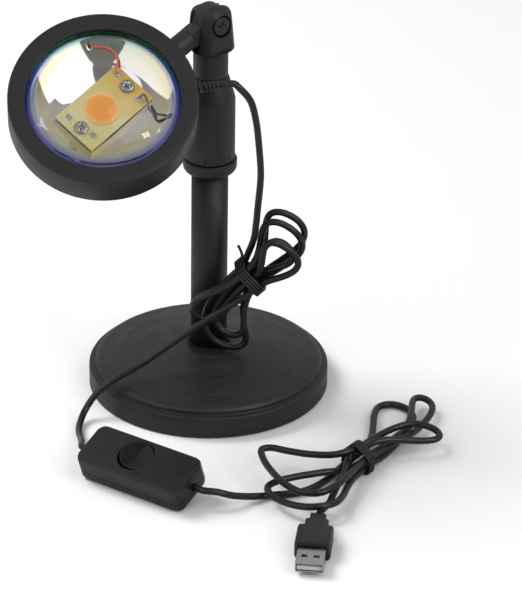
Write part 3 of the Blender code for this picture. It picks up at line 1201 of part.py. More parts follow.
def switch_case():
    frame = axis_empty("switch_frame", switch_frame())
    inner = (SWITCH_LENGTH - 2 * SWITCH_WALL, SWITCH_WIDTH - 2 * SWITCH_WALL)
    ends = rod("case_cord_holes", CORD_RADIUS + SLIDE_FIT, SWITCH_LENGTH + 2 * OVERRUN, frame,
               (0, SWITCH_CORD_OFFSET, SWITCH_CORD_HEIGHT), turn=(0, math.pi / 2, 0), sides=16)
    low_top = SWITCH_SEAM - GAP / 2
    high_low = SWITCH_SEAM + GAP / 2
    tall = SWITCH_HEIGHT + 2 * OVERRUN
    posts = [Vector((x * SWITCH_LENGTH, y * SWITCH_WIDTH, 0)) for x, y in POST_SHARES]

    case = (SWITCH_LENGTH, SWITCH_WIDTH, SWITCH_HEIGHT)
    lower = block("switch_lower", case, frame, (0, 0, SWITCH_HEIGHT / 2), "gloss_black",
                  rounding=SWITCH_ROUND, corner=SWITCH_CORNER)
    boolean(lower, block("above_seam", (2 * SWITCH_LENGTH, 2 * SWITCH_WIDTH, tall), frame,
                         (0, 0, low_top + tall / 2)))
    inner_corner = SWITCH_CORNER - SWITCH_WALL
    hollow = block("lower_hollow", (*inner, tall), frame, (0, 0, SWITCH_WALL + tall / 2),
                   corner=inner_corner)
    boolean(lower, hollow)
    post_low = low_top - SWITCH_WALL / 2
    boolean(lower, rods("lower_posts", POST_RADIUS, post_low, [p + Vector((0, 0, low_top - post_low / 2))
                                                             for p in posts], frame, sides=12), "UNION")
    boolean(lower, rods("lower_taps", SWITCH_SCREW_RADIUS + SLIDE_FIT, tall, posts, frame, sides=10))
    sunk = 2 * SWITCH_SCREW_SINK
    boolean(lower, rods("screw_wells", SWITCH_SCREW_HEAD + SLIDE_FIT, sunk, posts, frame, sides=12))
    boolean(lower, ends)

    upper = block("switch_upper", case, frame, (0, 0, SWITCH_HEIGHT / 2), "gloss_black",
                  rounding=SWITCH_ROUND, corner=SWITCH_CORNER)
    boolean(upper, block("below_seam", (2 * SWITCH_LENGTH, 2 * SWITCH_WIDTH, tall), frame,
                         (0, 0, high_low - tall / 2)))
    ceiling = SWITCH_HEIGHT - SWITCH_WALL
    boolean(upper, block("upper_hollow", (*inner, tall), frame, (0, 0, ceiling - tall / 2),
                         corner=inner_corner))
    post_high = ceiling + SWITCH_WALL / 2 - high_low
    boolean(upper, rods("upper_posts", POST_RADIUS, post_high, [p + Vector((0, 0, high_low + post_high / 2))
                                                              for p in posts], frame, sides=12), "UNION")
    tap = 2 * (SWITCH_SCREW_SINK + SWITCH_SCREW_LENGTH)
    boolean(upper, rods("upper_taps", SWITCH_SCREW_RADIUS + SLIDE_FIT, tap, posts, frame, sides=10))
    rocker_x, rocker_y = ROCKER_SHIFT_SHARES[0] * SWITCH_LENGTH, ROCKER_SHIFT_SHARES[1] * SWITCH_WIDTH
    ear_place = ROCKER_RADIUS + ROCKER_GAP + EAR_THICKNESS / 2
    pivot = SWITCH_HEIGHT - ROCKER_PIVOT_DROP

    def ears(work):
        for side in (-1, 1):
            made = bmesh.ops.create_cube(work, size=1)
            size = (EAR_LENGTH, EAR_THICKNESS, EAR_DROP + SWITCH_WALL / 2)
            bmesh.ops.scale(work, vec=size, verts=made["verts"])
            height = ceiling - EAR_DROP / 2 + SWITCH_WALL / 4
            place = (rocker_x, rocker_y + side * ear_place, height)
            bmesh.ops.translate(work, vec=place, verts=made["verts"])
    boolean(upper, add_object("pin_ears", mesh_from("pin_ears", ears), frame), "UNION")
    boolean(upper, rod("rocker_opening", ROCKER_RADIUS + ROCKER_GAP, SWITCH_HEIGHT, frame,
                       (rocker_x, rocker_y, SWITCH_HEIGHT), sides=32))
    pin_length = 2 * (ear_place + EAR_THICKNESS / 2)
    across = (math.pi / 2, 0, 0)
    boolean(upper, rod("pin_holes", ROCKER_PIN_RADIUS + SLIDE_FIT, pin_length + OVERRUN, frame,
                       (rocker_x, rocker_y, pivot), turn=across, sides=12))
    boolean(upper, ends)
    rod("rocker_pin", ROCKER_PIN_RADIUS, pin_length, frame, (rocker_x, rocker_y, pivot),
        "steel", across, sides=12)

    height = SWITCH_WALL + GAP + CONTACT_THICKNESS / 2

    for i, side in enumerate((-1, 1)):
        block(f"switch_contact_{i + 1}", (CONTACT_LENGTH, CONTACT_WIDTH, CONTACT_THICKNESS), frame,
              (rocker_x, rocker_y + side * CONTACT_SPACING / 2, height), "brass")
    head_top = SWITCH_SCREW_SINK - GAP
    for i, post in enumerate(posts):
        outline = screw_outline(SWITCH_SCREW_HEAD, SWITCH_SCREW_HEAD_THICKNESS, SWITCH_SCREW_RADIUS,
                                SWITCH_SCREW_LENGTH)
        turned(f"switch_screw_{i + 1}", outline, frame, "steel", 12, at=post + Vector((0, 0, head_top)),
               turn=(math.pi, 0, 0))
    rocker(frame, Vector((rocker_x, rocker_y, pivot)))


def rocker(frame, pivot):
    """Shaped in its level position and then tilted about the pin, its left end up."""
    axis = axis_empty("rocker_axis", Matrix.Translation(pivot) @ Matrix.Rotation(ROCKER_TILT, 4, "Y"), frame)
    tall = ROCKER_RIDGE + ROCKER_UNDERSIDE
    button = rod("switch_rocker", ROCKER_RADIUS, tall, axis, (0, 0, (ROCKER_RIDGE - ROCKER_UNDERSIDE) / 2),
                 "gloss_black", sides=32)
    wide = 2 * ROCKER_RADIUS + 2 * OVERRUN
    slope = math.atan2(ROCKER_RIDGE - ROCKER_EDGE, ROCKER_RADIUS)
    for side in (-1, 1):
        middle = Vector((side * ROCKER_RADIUS / 2, 0, (ROCKER_RIDGE + ROCKER_EDGE) / 2))
        above = Vector((side * math.sin(slope), 0, math.cos(slope))) * wide / 2
        along = Vector((side * math.cos(slope), 0, -math.sin(slope))) * OVERRUN
        length = ROCKER_RADIUS / math.cos(slope) + 2 * OVERRUN
        boolean(button, block(f"rocker_face_{side}", (length, wide, wide), axis, middle + above + along,
                              turn=(0, side * slope, 0)))
    boolean(button, rod("rocker_bore", ROCKER_PIN_RADIUS + SLIDE_FIT, wide, axis, turn=(math.pi / 2, 0, 0),
                        sides=12))


# Plug: X towards the mouth, Z up
def plug():
    frame = axis_empty("plug_frame", Matrix.Translation((PLUG_X, PLUG_Y, GRIP_HEIGHT / 2)) @
                       Matrix.Rotation(PLUG_HEADING, 4, "Z"))
    relief = sum(RELIEF_LENGTHS)
    grip = block("plug_overmould", (GRIP_LENGTH, GRIP_WIDTH, GRIP_HEIGHT), frame,
                 (relief + GRIP_LENGTH / 2, 0, 0), "satin_black", rounding=GRIP_ROUND)
    start = 0
    for i, (length, width, height) in enumerate(zip(RELIEF_LENGTHS, RELIEF_WIDTHS, RELIEF_HEIGHTS)):
        sunk = length + GRIP_ROUND
        boolean(grip, block(f"relief_step_{i}", (sunk, width, height), frame, (start + sunk / 2, 0, 0),
                            rounding=GRIP_ROUND / 2), "UNION")
        start += length
    mouth = relief + GRIP_LENGTH - SHELL_SEAT + SHELL_LENGTH
    root = mouth - SHELL_LENGTH
    pocket = (SHELL_SEAT + OVERRUN, SHELL_WIDTH + 2 * GAP, SHELL_HEIGHT + 2 * GAP)
    boolean(grip, block("shell_pocket", pocket, frame, (root - GAP + pocket[0] / 2, 0, 0)))

    shell = block("usb_shell", (SHELL_LENGTH, SHELL_WIDTH, SHELL_HEIGHT), frame,
                  (root + SHELL_LENGTH / 2, 0, 0), "steel")
    bore = (SHELL_LENGTH + 2 * OVERRUN, SHELL_WIDTH - 2 * SHELL_WALL, SHELL_HEIGHT - 2 * SHELL_WALL)
    boolean(shell, block("shell_bore", bore, frame, (root + SHELL_LENGTH / 2, 0, 0)))

    def latches(work):
        for side in (-1, 1):
            made = bmesh.ops.create_cube(work, size=LATCH_HOLE)
            place = (mouth - LATCH_FROM_MOUTH, side * LATCH_SPACING / 2, SHELL_HEIGHT / 2)
            bmesh.ops.translate(work, vec=place, verts=made["verts"])
    boolean(shell, add_object("latch_holes", mesh_from("latch_holes", latches), frame))

    floor = -SHELL_HEIGHT / 2 + SHELL_WALL + GAP
    length = SHELL_LENGTH - TONGUE_RECESS
    tongue = block("usb_tongue", (length, bore[1] - 2 * GAP, TONGUE_HEIGHT), frame,
                   (root + length / 2, 0, floor + TONGUE_HEIGHT / 2), "plug_white")
    for i in range(CONTACT_COUNT):
        place = (root + length - CONTACT_STRIP_LENGTH / 2 - TONGUE_RECESS,
                 (i - (CONTACT_COUNT - 1) / 2) * bore[1] / (CONTACT_COUNT + 0.5), floor + TONGUE_HEIGHT)
        size = (CONTACT_STRIP_LENGTH, CONTACT_STRIP, 2 * CONTACT_STRIP_HEIGHT)
        strip = block(f"contact_strip_{i + 1}", size, frame, place)
        boolean(tongue, strip, "UNION")


def build():
    base_cover()
    base_inside()
    column()
    swivel = turret()
    knuckle(swivel)
    tilt = arm(swivel)
    head = head_axis(tilt)
    head_shell(head)
    head_back(head)
    arm_fixing(head)
    heat_sink(head)
    reflector(head)
    light_board(head)
    feed_wires(head)
    lens_dome(head)
    cord_boot(head)
    switch_case()
    plug()
    upper_lead()
    lower_lead()
    bpy.context.view_layer.update()


build()
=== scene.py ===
# %% [markdown]
# # A sunset lamp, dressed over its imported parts
# The lamp is a weighted base with a column, a sleeve that turns on it, an arm in a fork, and a round
# head with a domed lens. Every rigid part was packed before, in metres and standing at the origin,
# so this lesson loads those parts as a fixed frame and builds the pieces one sees over them.

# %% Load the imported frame
import json
import math

import bmesh
import bpy
import numpy as np
from mathutils import Matrix, Vector

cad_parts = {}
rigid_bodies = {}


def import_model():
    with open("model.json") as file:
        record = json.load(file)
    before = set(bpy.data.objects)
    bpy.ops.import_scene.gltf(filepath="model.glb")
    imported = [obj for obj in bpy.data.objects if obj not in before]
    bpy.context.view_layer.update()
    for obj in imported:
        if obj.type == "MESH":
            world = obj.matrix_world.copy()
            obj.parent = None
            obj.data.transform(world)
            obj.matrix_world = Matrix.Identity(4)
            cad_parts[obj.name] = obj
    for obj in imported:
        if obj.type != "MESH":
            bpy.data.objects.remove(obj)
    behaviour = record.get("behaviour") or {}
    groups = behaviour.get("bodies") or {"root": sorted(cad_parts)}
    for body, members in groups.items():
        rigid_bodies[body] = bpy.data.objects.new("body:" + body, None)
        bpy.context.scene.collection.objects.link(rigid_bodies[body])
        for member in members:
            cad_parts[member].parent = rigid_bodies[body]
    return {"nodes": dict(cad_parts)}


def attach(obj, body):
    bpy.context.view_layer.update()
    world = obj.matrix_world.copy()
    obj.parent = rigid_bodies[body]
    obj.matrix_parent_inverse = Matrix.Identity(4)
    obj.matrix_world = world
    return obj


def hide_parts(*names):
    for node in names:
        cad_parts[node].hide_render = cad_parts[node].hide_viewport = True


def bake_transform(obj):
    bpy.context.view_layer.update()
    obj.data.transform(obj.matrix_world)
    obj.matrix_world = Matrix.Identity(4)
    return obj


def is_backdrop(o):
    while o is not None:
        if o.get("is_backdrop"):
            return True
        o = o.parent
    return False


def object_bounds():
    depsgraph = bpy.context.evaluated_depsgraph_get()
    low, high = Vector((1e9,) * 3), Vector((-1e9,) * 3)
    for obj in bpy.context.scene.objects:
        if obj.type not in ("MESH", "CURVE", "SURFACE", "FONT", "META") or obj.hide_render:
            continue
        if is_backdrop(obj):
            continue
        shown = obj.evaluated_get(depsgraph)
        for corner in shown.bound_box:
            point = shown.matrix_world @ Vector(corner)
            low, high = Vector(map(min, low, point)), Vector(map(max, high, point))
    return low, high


for leftover in list(bpy.data.objects):
    bpy.data.objects.remove(leftover, do_unlink=True)
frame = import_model()
cad_box = [list(corner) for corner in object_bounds()]
print("packed nodes:", len(frame["nodes"]), "box:", cad_box)

# %% [markdown]
# ## The camera
# The photograph looks down on the lamp with a long lens, about 1.65 m away. The camera's place and
# the directions of its right, up and forward sides were worked out from the round base, the column
# and the head's rim. A camera looks along its own -Z, so forward goes into the matrix negated.

# %% Place the camera
def new_object(name, data):
    """Puts an object that shows the data into the scene."""
    made = bpy.data.objects.new(name, data)
    bpy.context.scene.collection.objects.link(made)
    return made


camera_place = Vector((0.002117, -1.440105, 0.797207))
camera_right = Vector((0.999879, -0.008130, 0.013231))
camera_up = Vector((-0.007939, 0.464609, 0.885480))
camera_forward = Vector((0.013346, 0.885479, -0.464489))

camera_data = bpy.data.cameras.new("lamp_camera")
camera_data.sensor_fit = "AUTO"
camera_data.sensor_width = 36
camera_data.lens = 213.2
camera_data.clip_start = 0.05
camera_data.clip_end = 50
camera = new_object("lamp_camera", camera_data)
turn = Matrix((camera_right, camera_up, -camera_forward)).transposed().to_4x4()
camera.matrix_world = Matrix.Translation(camera_place) @ turn
bpy.context.scene.camera = camera
print("camera stands", round(camera_place.length, 3), "m from the lamp's foot")

# %% [markdown]
# ## The frames of the head, the switch and the plug
# The head, the switch and the plug are turned against the world. Each has its own frame, so that a
# shape is drawn straight and then moved into place by one matrix. The head's X runs across its
# face, Y up the face and Z out of it.

# %% Work out the frames
hinge_heading = math.radians(-52.53)
arm_drop = math.radians(23.79)
head_twist = math.radians(59.66)
arm_entry = math.radians(43.4)
pivot_height = 0.1802
arm_length = 0.02257
head_radius = 0.04143
arm_reach = arm_length + head_radius

tilt_frame = (Matrix.Translation((0, 0, pivot_height)) @
              Matrix.Rotation(hinge_heading - math.pi / 2, 4, "Z") @ Matrix.Rotation(arm_drop, 4, "Y"))
twist = math.cos(head_twist), math.sin(head_twist)
face = Matrix(((-1, 0, 0, arm_reach), (0, -twist[1], twist[0], 0),
               (0, twist[0], twist[1], 0), (0, 0, 0, 1)))
head_frame = tilt_frame @ face @ Matrix.Rotation(-arm_entry, 4, "Z")
hinge_frame = Matrix.Translation((0, 0, pivot_height)) @ Matrix.Rotation(hinge_heading, 4, "Z")

switch_length, switch_width = 0.0552, 0.0226
switch_roll = math.radians(20)   # the lead's stiffness holds the case's back up off the table
switch_lift = switch_width / 2 * math.sin(switch_roll)
switch_frame = (Matrix.Translation((-0.0277, -0.0965, switch_lift)) @
                Matrix.Rotation(math.radians(-34.5), 4, "Z") @ Matrix.Rotation(switch_roll, 4, "X"))
plug_heading = math.radians(-97.0)
plug_frame = Matrix.Translation((0.0480, -0.1305, 0.0043)) @ Matrix.Rotation(plug_heading, 4, "Z")
print("head centre", [round(x, 4) for x in head_frame.translation])

# %% [markdown]
# ## The route of the lead
# The lead is one soft cable. It hangs from the head, is tied in a hank before the column, runs over
# the base to the switch, and goes on through a second hank to the plug. A cable is best drawn as one
# line first. These helpers space points evenly on a line and run a smooth curve through given spots.

# %% Lines through given spots
cord_radius = 0.00155
part_gap = 0.0003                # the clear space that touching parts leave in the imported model
strand_gap = 0.0006              # between neighbouring strands of a hank


def lerp(first, last, share):
    return first + (last - first) * share


def smoothstep(share):
    share = max(0, min(1, share))
    return share * share * (3 - 2 * share)


def lengths_along(points):
    total = [0]
    for a, b in zip(points, points[1:]):
        total.append(total[-1] + (b - a).length)
    return total


def point_at(points, total, reach):
    i = int(np.searchsorted(total, reach, side="right")) - 1
    i = max(0, min(i, len(points) - 2))
    return points[i].lerp(points[i + 1], (reach - total[i]) / (total[i + 1] - total[i]))


def evenly(points, spacing, first=0, last=None):
    total = lengths_along(points)
    last = total[-1] if last is None else last
    count = max(1, round((last - first) / spacing))
    return [point_at(points, total, lerp(first, last, i / count)) for i in range(count + 1)]


def smooth(points, spacing):
    """Even points on a smooth curve that runs through the given ones."""
    spots = [Vector(point) for point in points]
    spots = [2 * spots[0] - spots[1]] + spots + [2 * spots[-1] - spots[-2]]
    fine = []
    for a, b, c, d in zip(spots, spots[1:], spots[2:], spots[3:]):
        t0, t1 = 0, math.sqrt((b - a).length)
        t2 = t1 + math.sqrt((c - b).length)
        t3 = t2 + math.sqrt((d - c).length)
        for i in range(20):
            t = t1 + (t2 - t1) * i / 20
            ab = a.lerp(b, (t - t0) / (t1 - t0))
            bc = b.lerp(c, (t - t1) / (t2 - t1))
            cd = c.lerp(d, (t - t2) / (t3 - t2))
            early = ab.lerp(bc, (t - t0) / (t2 - t0))
            late = bc.lerp(cd, (t - t1) / (t3 - t1))
            fine.append(early.lerp(late, (t - t1) / (t2 - t1)))
    fine.append(spots[-2])
    return evenly(fine, spacing)


def nearest_length(line, place):
    total = lengths_along(line)
    apart = [(point - Vector(place)).length for point in line]
    return total[apart.index(min(apart))]


# %% [markdown]
# ## The loops of a hank
# A hank is wound over a hand and tied at its waist, so each loop end, called a lobe here, leaves the
# tie, swings round and comes back. A lobe is one half turn of an angle: its sine gives the reach,
# and its cosine the width. Twelve or more points a lobe keep the fold round.

# %% Lobes of a hank
pitch = 2 * cord_radius + strand_gap
lobe_points = 14


def hank_loops(tie, out, across, stack, lobes, last):
    points = []
    ends = [lobe[4] for lobe in lobes[1:]] + [last]
    for lobe, (next_column, next_layer) in zip(lobes, ends):
        side, reach, half_width, lean, (column, layer), level = lobe
        sign = 1 if column > next_column else -1
        fullness = min(1, 6.8 * half_width / reach)
        for i in range(lobe_points):
            share = i / lobe_points
            angle = math.pi * share
            away = math.sin(angle)
            bulge = 2.6 * half_width * math.cos(angle) * away ** 2
            sideways = pitch * lerp(column, next_column, smoothstep(share)) + sign * bulge
            outward = side * reach * away ** fullness
            swing = lean * away
            held = lerp(layer, next_layer, smoothstep(share))
            place = tie + stack * pitch * lerp(held, level, smoothstep(away / 0.6))
            place += out * (outward * math.cos(swing) - sideways * math.sin(swing))
            place += across * (sideways * math.cos(swing) + outward * math.sin(swing))
            points.append(place)
    points.append(tie + stack * pitch * last[1] + across * pitch * last[0])
    return points


# %% [markdown]
# Real strands can't lie in each other. The line is eased: wherever two turns come too close they
# push each other away, the push is spread along the cable, and the whole stays off the column and
# off the table. This repeats until every turn has room.

# %% Ease the turns apart
def eased(line, keep_off):
    rows = np.array([tuple(point) for point in evenly(line, cord_radius)])
    total = lengths_along(line)[-1]
    count = len(rows)
    along = np.linspace(0, total, count)
    held = 8 * cord_radius
    free = ((along > held) & (along < total - held))[:, None]
    home = rows.copy()
    clear = 2 * cord_radius + 2 * strand_gap
    steps = np.abs(np.subtract.outer(np.arange(count), np.arange(count)))
    for _ in range(120):
        vectors = rows[:, None] - rows[None, :]
        apart = np.linalg.norm(vectors, axis=2)
        apart[steps * cord_radius < 7 * cord_radius] = np.inf
        short = np.clip(clear - apart, 0, None)
        push = (vectors / apart[:, :, None] * short[:, :, None]).sum(axis=1) / 4
        moved = rows + np.where(free, push, 0) - home
        for _ in range(2):
            moved[1:-1] = (moved[:-2] + 2 * moved[1:-1] + moved[2:]) / 4
        rows = np.where(free, keep_off(home + moved), home)
    return [Vector(row) for row in rows]


# %% [markdown]
# ## The upper half of the lead
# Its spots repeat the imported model's: out of the ribbed sleeve on the head, down in a soft curve,
# eight lobes of the tied hank that leans to the right before the column, and over the base's left
# side down to the switch.

# %% Route of the upper half
boot_turn = math.radians(10.0)
boot_forward = 0.0060
boot_length = 0.0107


def around(radius, angle, height):
    """A place in the head's frame, round its axis."""
    return Vector((radius * math.cos(angle), radius * math.sin(angle), height))


def switch_place(end, away):
    reach = switch_length / 2 + part_gap + away
    return switch_frame @ Vector((end * reach, 0.0005, 0.0056))


boot_tip = head_radius + 2 * part_gap + boot_length
leave_head = [head_frame @ around(boot_tip + step * cord_radius, boot_turn, boot_forward)
              for step in (0, 2, 3)]
drop_spots = [(0.0129, -0.0305), (0.0173, -0.0302), (0.0198, -0.0298), (0.0217, -0.0288), (0.0225, -0.0276),
              (0.0221, -0.0264), (0.0215, -0.0248), (0.0211, -0.0225), (0.0205, -0.0192)]
drop_foot = 0.0817
drop_height_shares = (0.9743, 0.9071, 0.7995, 0.6051, 0.4499, 0.3423, 0.2323, 0.1174, 0)
drop = [Vector((x, y, lerp(drop_foot, leave_head[0].z, share)))
        for (x, y), share in zip(drop_spots, drop_height_shares)]
to_switch = [(0.0043, -0.0225, 0.0483), (-0.0060, -0.0235, 0.0405), (-0.0190, -0.0260, 0.0312),
             (-0.0312, -0.0290, 0.0232), (-0.0415, -0.0320, 0.0180), (-0.0500, -0.0345, 0.0120),
             (-0.0556, -0.0385, 0.0050), (-0.0577, -0.0455, 0.0022), (-0.0579, -0.0530, 0.0024),
             (-0.0568, -0.0615, 0.0038), (-0.0560, -0.0700, 0.0068)]
upper_tie = Vector((0.0189, -0.0146, 0.0615))
upper_lean = math.radians(45)
upper_out = Vector((math.sin(upper_lean), 0, math.cos(upper_lean)))
upper_across = Vector((math.cos(upper_lean), 0, -math.sin(upper_lean)))
upper_stack = Vector((0, -1, 0))
# side, reach, half width, lean, (column, layer) where it starts, level it flies at
upper_lobes = [
    (-1, 0.0395, 0.0080, math.radians(-30), (-1, 0), 0), (1, 0.0335, 0.0086, math.radians(-18), (1, 0), 0),
    (-1, 0.0315, 0.0062, math.radians(-23), (0, 0), 0.8), (1, 0.0300, 0.0082, math.radians(-12), (1, 1), 1),
    (-1, 0.0315, 0.0052, math.radians(4), (-1, 1), 1.6), (1, 0.0235, 0.0055, math.radians(5), (0, 1), 2),
    (-1, 0.0300, 0.0050, math.radians(6), (-1, 2), 2.4), (1, 0.0240, 0.0080, math.radians(-9), (0, 2), 3)]


column_radius = 0.0083
cone_outer, cone_inner = 0.0506, 0.0086
cone_low, cone_rise = 0.0138, 0.0072


def off_the_stand(rows):
    """Rows moved out of the column and up from the base's cone."""
    clear = cord_radius + part_gap
    away = np.linalg.norm(rows[:, :2], axis=1)
    near = away < column_radius + clear
    rows[near, :2] *= ((column_radius + clear) / away[near])[:, None]
    share = np.clip((cone_outer - away) / (cone_outer - cone_inner), 0, 1)
    ground = np.where(away < cone_outer, cone_low + cone_rise * share + clear, clear)
    rows[:, 2] = np.maximum(rows[:, 2], ground)
    return rows


arrive = [switch_place(-1, step * cord_radius) for step in (3, 2, 0)]
loops = hank_loops(upper_tie - upper_stack * pitch, upper_out, upper_across, upper_stack,
                   upper_lobes, (1, 2))
route = leave_head + drop + loops + to_switch + arrive
upper_line = eased(smooth(route, cord_radius / 2), off_the_stand)
print("upper half of the lead:", round(lengths_along(upper_line)[-1], 3), "m")

# %% [markdown]
# ## The lower half of the lead
# From the switch it runs flat on the table, makes five flat lobes of a hank, and ends in the plug.

# %% Route of the lower half
from_switch = [(0.0040, -0.1162, 0.0087), (0.0110, -0.1142, 0.0059), (0.0195, -0.1100, 0.0031),
               (0.0290, -0.1066, 0.0018), (0.0397, -0.1046, 0.0017), (0.0500, -0.0975, 0.0017)]
to_plug = [(0.0614, -0.0965, 0.0075), (0.0593, -0.1023, 0.0070), (0.0560, -0.1118, 0.0065),
           (0.0528, -0.1200, 0.0058)]
lower_tie = Vector((0.0666, -0.0815, 0.0048))
lower_heading = math.radians(52)
lower_out = Vector((math.cos(lower_heading), math.sin(lower_heading), 0))
lower_across = Vector((math.sin(lower_heading), -math.cos(lower_heading), 0))
lower_stack = Vector((0, 0, 1))
lower_lobes = [
    (1, 0.0590, 0.0085, math.radians(-17), (-1, 0), -0.3),
    (-1, 0.0515, 0.0140, math.radians(6), (0, 0), 0.7),
    (1, 0.0645, 0.0048, math.radians(-12), (1, 0), 0.3),
    (-1, 0.0425, 0.0215, math.radians(31), (1, 1), 1.7),
    (1, 0.0415, 0.0065, math.radians(25), (0, 1), 1)]


tie_thickness, tie_reach = 0.0013, 0.012


def off_the_table(rows):
    """Rows lifted off the table, by the tie's thickness too where it goes round them."""
    away = np.linalg.norm(rows[:, :2] - np.array(lower_tie.xy), axis=1)
    lift = tie_thickness * np.clip(2 - away / tie_reach * 2, 0, 1)
    rows[:, 2] = np.maximum(rows[:, 2], cord_radius + 0.0001 + lift)
    return rows


leave_switch = [switch_place(1, step * cord_radius) for step in (0, 2, 3)]
into_plug = Vector((math.cos(plug_heading), math.sin(plug_heading), 0))
arrive = [plug_frame.translation - into_plug * (part_gap + step * cord_radius) for step in (3, 2, 0)]
loops = hank_loops(lower_tie - lower_stack * pitch / 2, lower_out, lower_across, lower_stack,
                   lower_lobes, (-1, 1))
route = leave_switch + from_switch + loops + to_plug + arrive
lower_line = eased(smooth(route, cord_radius / 2), off_the_table)
print("lower half of the lead:", round(lengths_along(lower_line)[-1], 3), "m")

# %% [markdown]
# ## Finishes
# A finish is one Principled shader and the nodes that vary it. Real moulded or painted black is
# never one flat value: its roughness wanders a little, and a very fine grain breaks its highlights.
# Both come from noise on Object coordinates, so they stay on the piece from every side.

# %% Helpers for finishes
def new_finish(name, colour, roughness, metallic=0.0):
    material = bpy.data.materials.new(name)
    material.use_nodes = True
    shader = material.node_tree.nodes["Principled BSDF"]
    shader.inputs["Base Color"].default_value = (*colour, 1)
    shader.inputs["Roughness"].default_value = roughness
    shader.inputs["Metallic"].default_value = metallic
    return material


def shader_of(material):
    return material.node_tree.nodes["Principled BSDF"]


def noise_on(material, scale, detail=2.0, stretch=None):
    """A noise texture on Object coordinates. Stretch squeezes it along the axes."""
    tree = material.node_tree
    places = tree.nodes.new("ShaderNodeTexCoord")
    noise = tree.nodes.new("ShaderNodeTexNoise")
    noise.inputs["Scale"].default_value = scale
    noise.inputs["Detail"].default_value = detail
    source = places.outputs["Object"]
    if stretch:
        mapping = tree.nodes.new("ShaderNodeMapping")
        mapping.inputs["Scale"].default_value = stretch
        tree.links.new(source, mapping.inputs["Vector"])
        source = mapping.outputs["Vector"]
    tree.links.new(source, noise.inputs["Vector"])
    return noise.outputs["Fac"]


def feed(material, name, value):
    """Links a value to the shader's input of that name."""
    material.node_tree.links.new(value, shader_of(material).inputs[name])


def map_range(tree, value, first, last, low=0, high=1):
    """Turns a value that goes from first to last into one from low to high."""
    span = tree.nodes.new("ShaderNodeMapRange")
    for side, number in (("From Min", first), ("From Max", last), ("To Min", low), ("To Max", high)):
        span.inputs[side].default_value = number
    tree.links.new(value, span.inputs["Value"])
    return span.outputs["Result"]


def colour_ramp(tree, value, stops):
    """Colours along a value from 0 to 1."""
    ramp = tree.nodes.new("ShaderNodeValToRGB")
    elements = ramp.color_ramp.elements
    while len(elements) < len(stops):
        elements.new(0.5)
    for element, (position, colour) in zip(elements, stops):
        element.position = position
        element.color = (*colour, 1)
    tree.links.new(value, ramp.inputs["Fac"])
    return ramp.outputs["Color"]


def vary_roughness(material, scale, low, high):
    noise = noise_on(material, scale, 3.0)
    feed(material, "Roughness", map_range(material.node_tree, noise, 0.3, 0.7, low, high))


def vary_colour(material, scale, dark, light):
    noise = noise_on(material, scale, 3.0)
    feed(material, "Base Color", colour_ramp(material.node_tree, noise, [(0.3, dark), (0.7, light)]))


def add_bump(material, height, strength, distance):
    bump = material.node_tree.nodes.new("ShaderNodeBump")
    bump.inputs["Strength"].default_value = strength
    bump.inputs["Distance"].default_value = distance
    material.node_tree.links.new(height, bump.inputs["Height"])
    feed(material, "Normal", bump.outputs["Normal"])


def add_grain(material, scale, strength, distance=0.00005, stretch=None):
    add_bump(material, noise_on(material, scale, 2.0, stretch), strength, distance)


# %% [markdown]
# The lamp is black all over, but not one black. The column, arm and head are metal under a satin
# powder coat, the base cover is moulded with a matt skin, the switch is glossier moulded plastic,
# and the lead has the soft sheen of its rubbery sheath.

# %% The blacks
def black_finish(name, tone, low, high, grain_scale, grain_strength):
    material = new_finish(name, (tone, tone, tone * 1.04), (low + high) / 2)
    vary_colour(material, 60, (tone * 0.85, tone * 0.85, tone * 0.88),
                (tone * 1.15, tone * 1.15, tone * 1.2))
    vary_roughness(material, 140, low, high)
    add_grain(material, grain_scale, grain_strength)
    return material


coated_black = black_finish("coated_black", 0.018, 0.40, 0.50, 2600, 0.20)
head_black = black_finish("head_black", 0.016, 0.36, 0.46, 2600, 0.12)
cover_black = black_finish("cover_black", 0.017, 0.38, 0.50, 2200, 0.22)
switch_black = black_finish("switch_black", 0.014, 0.26, 0.36, 3000, 0.10)
rocker_black = black_finish("rocker_black", 0.011, 0.16, 0.24, 3000, 0.04)
lead_black = black_finish("lead_black", 0.013, 0.24, 0.34, 2400, 0.08)
plug_black = black_finish("plug_black", 0.015, 0.34, 0.44, 2800, 0.16)
screw_black = black_finish("screw_black", 0.05, 0.20, 0.30, 2400, 0.06)
shader_of(screw_black).inputs["Metallic"].default_value = 0.7

# %% [markdown]
# ## The lead as a tube
# A cable with one thickness is a curve with a round bevel: Blender sweeps a circle along its points.
# The long parts stay curves. The short piece that hangs from the head crosses three joints, so it is
# made of three mesh tubes, one for each joint. They meet end to end and look like one.

# %% Draw cables
merge_distance = 0.000001


def lead_curve(name, points, radius=cord_radius, resolution=5):
    curve = bpy.data.curves.new(name, "CURVE")
    curve.dimensions = "3D"
    curve.bevel_depth = radius
    curve.bevel_resolution = resolution
    curve.use_fill_caps = True
    spline = curve.splines.new("POLY")
    spline.points.add(len(points) - 1)
    for spot, point in zip(spline.points, points):
        spot.co = (*point, 1)
    spline.use_smooth = True
    return new_object(name, curve)


def made_mesh(piece, finish):
    """The same piece as a mesh, with its tube's seam merged."""
    bpy.context.view_layer.update()
    depsgraph = bpy.context.evaluated_depsgraph_get()
    mesh = bpy.data.meshes.new_from_object(piece.evaluated_get(depsgraph))
    name = piece.name
    bpy.data.objects.remove(piece, do_unlink=True)
    work = bmesh.new()
    work.from_mesh(mesh)
    bmesh.ops.remove_doubles(work, verts=work.verts, dist=merge_distance)
    bmesh.ops.recalc_face_normals(work, faces=work.faces)
    work.to_mesh(mesh)
    work.free()
    mesh.materials.clear()
    mesh.materials.append(finish)
    mesh.shade_smooth()
    mesh.set_sharp_from_angle(angle=math.radians(60))
    return new_object(name, mesh)


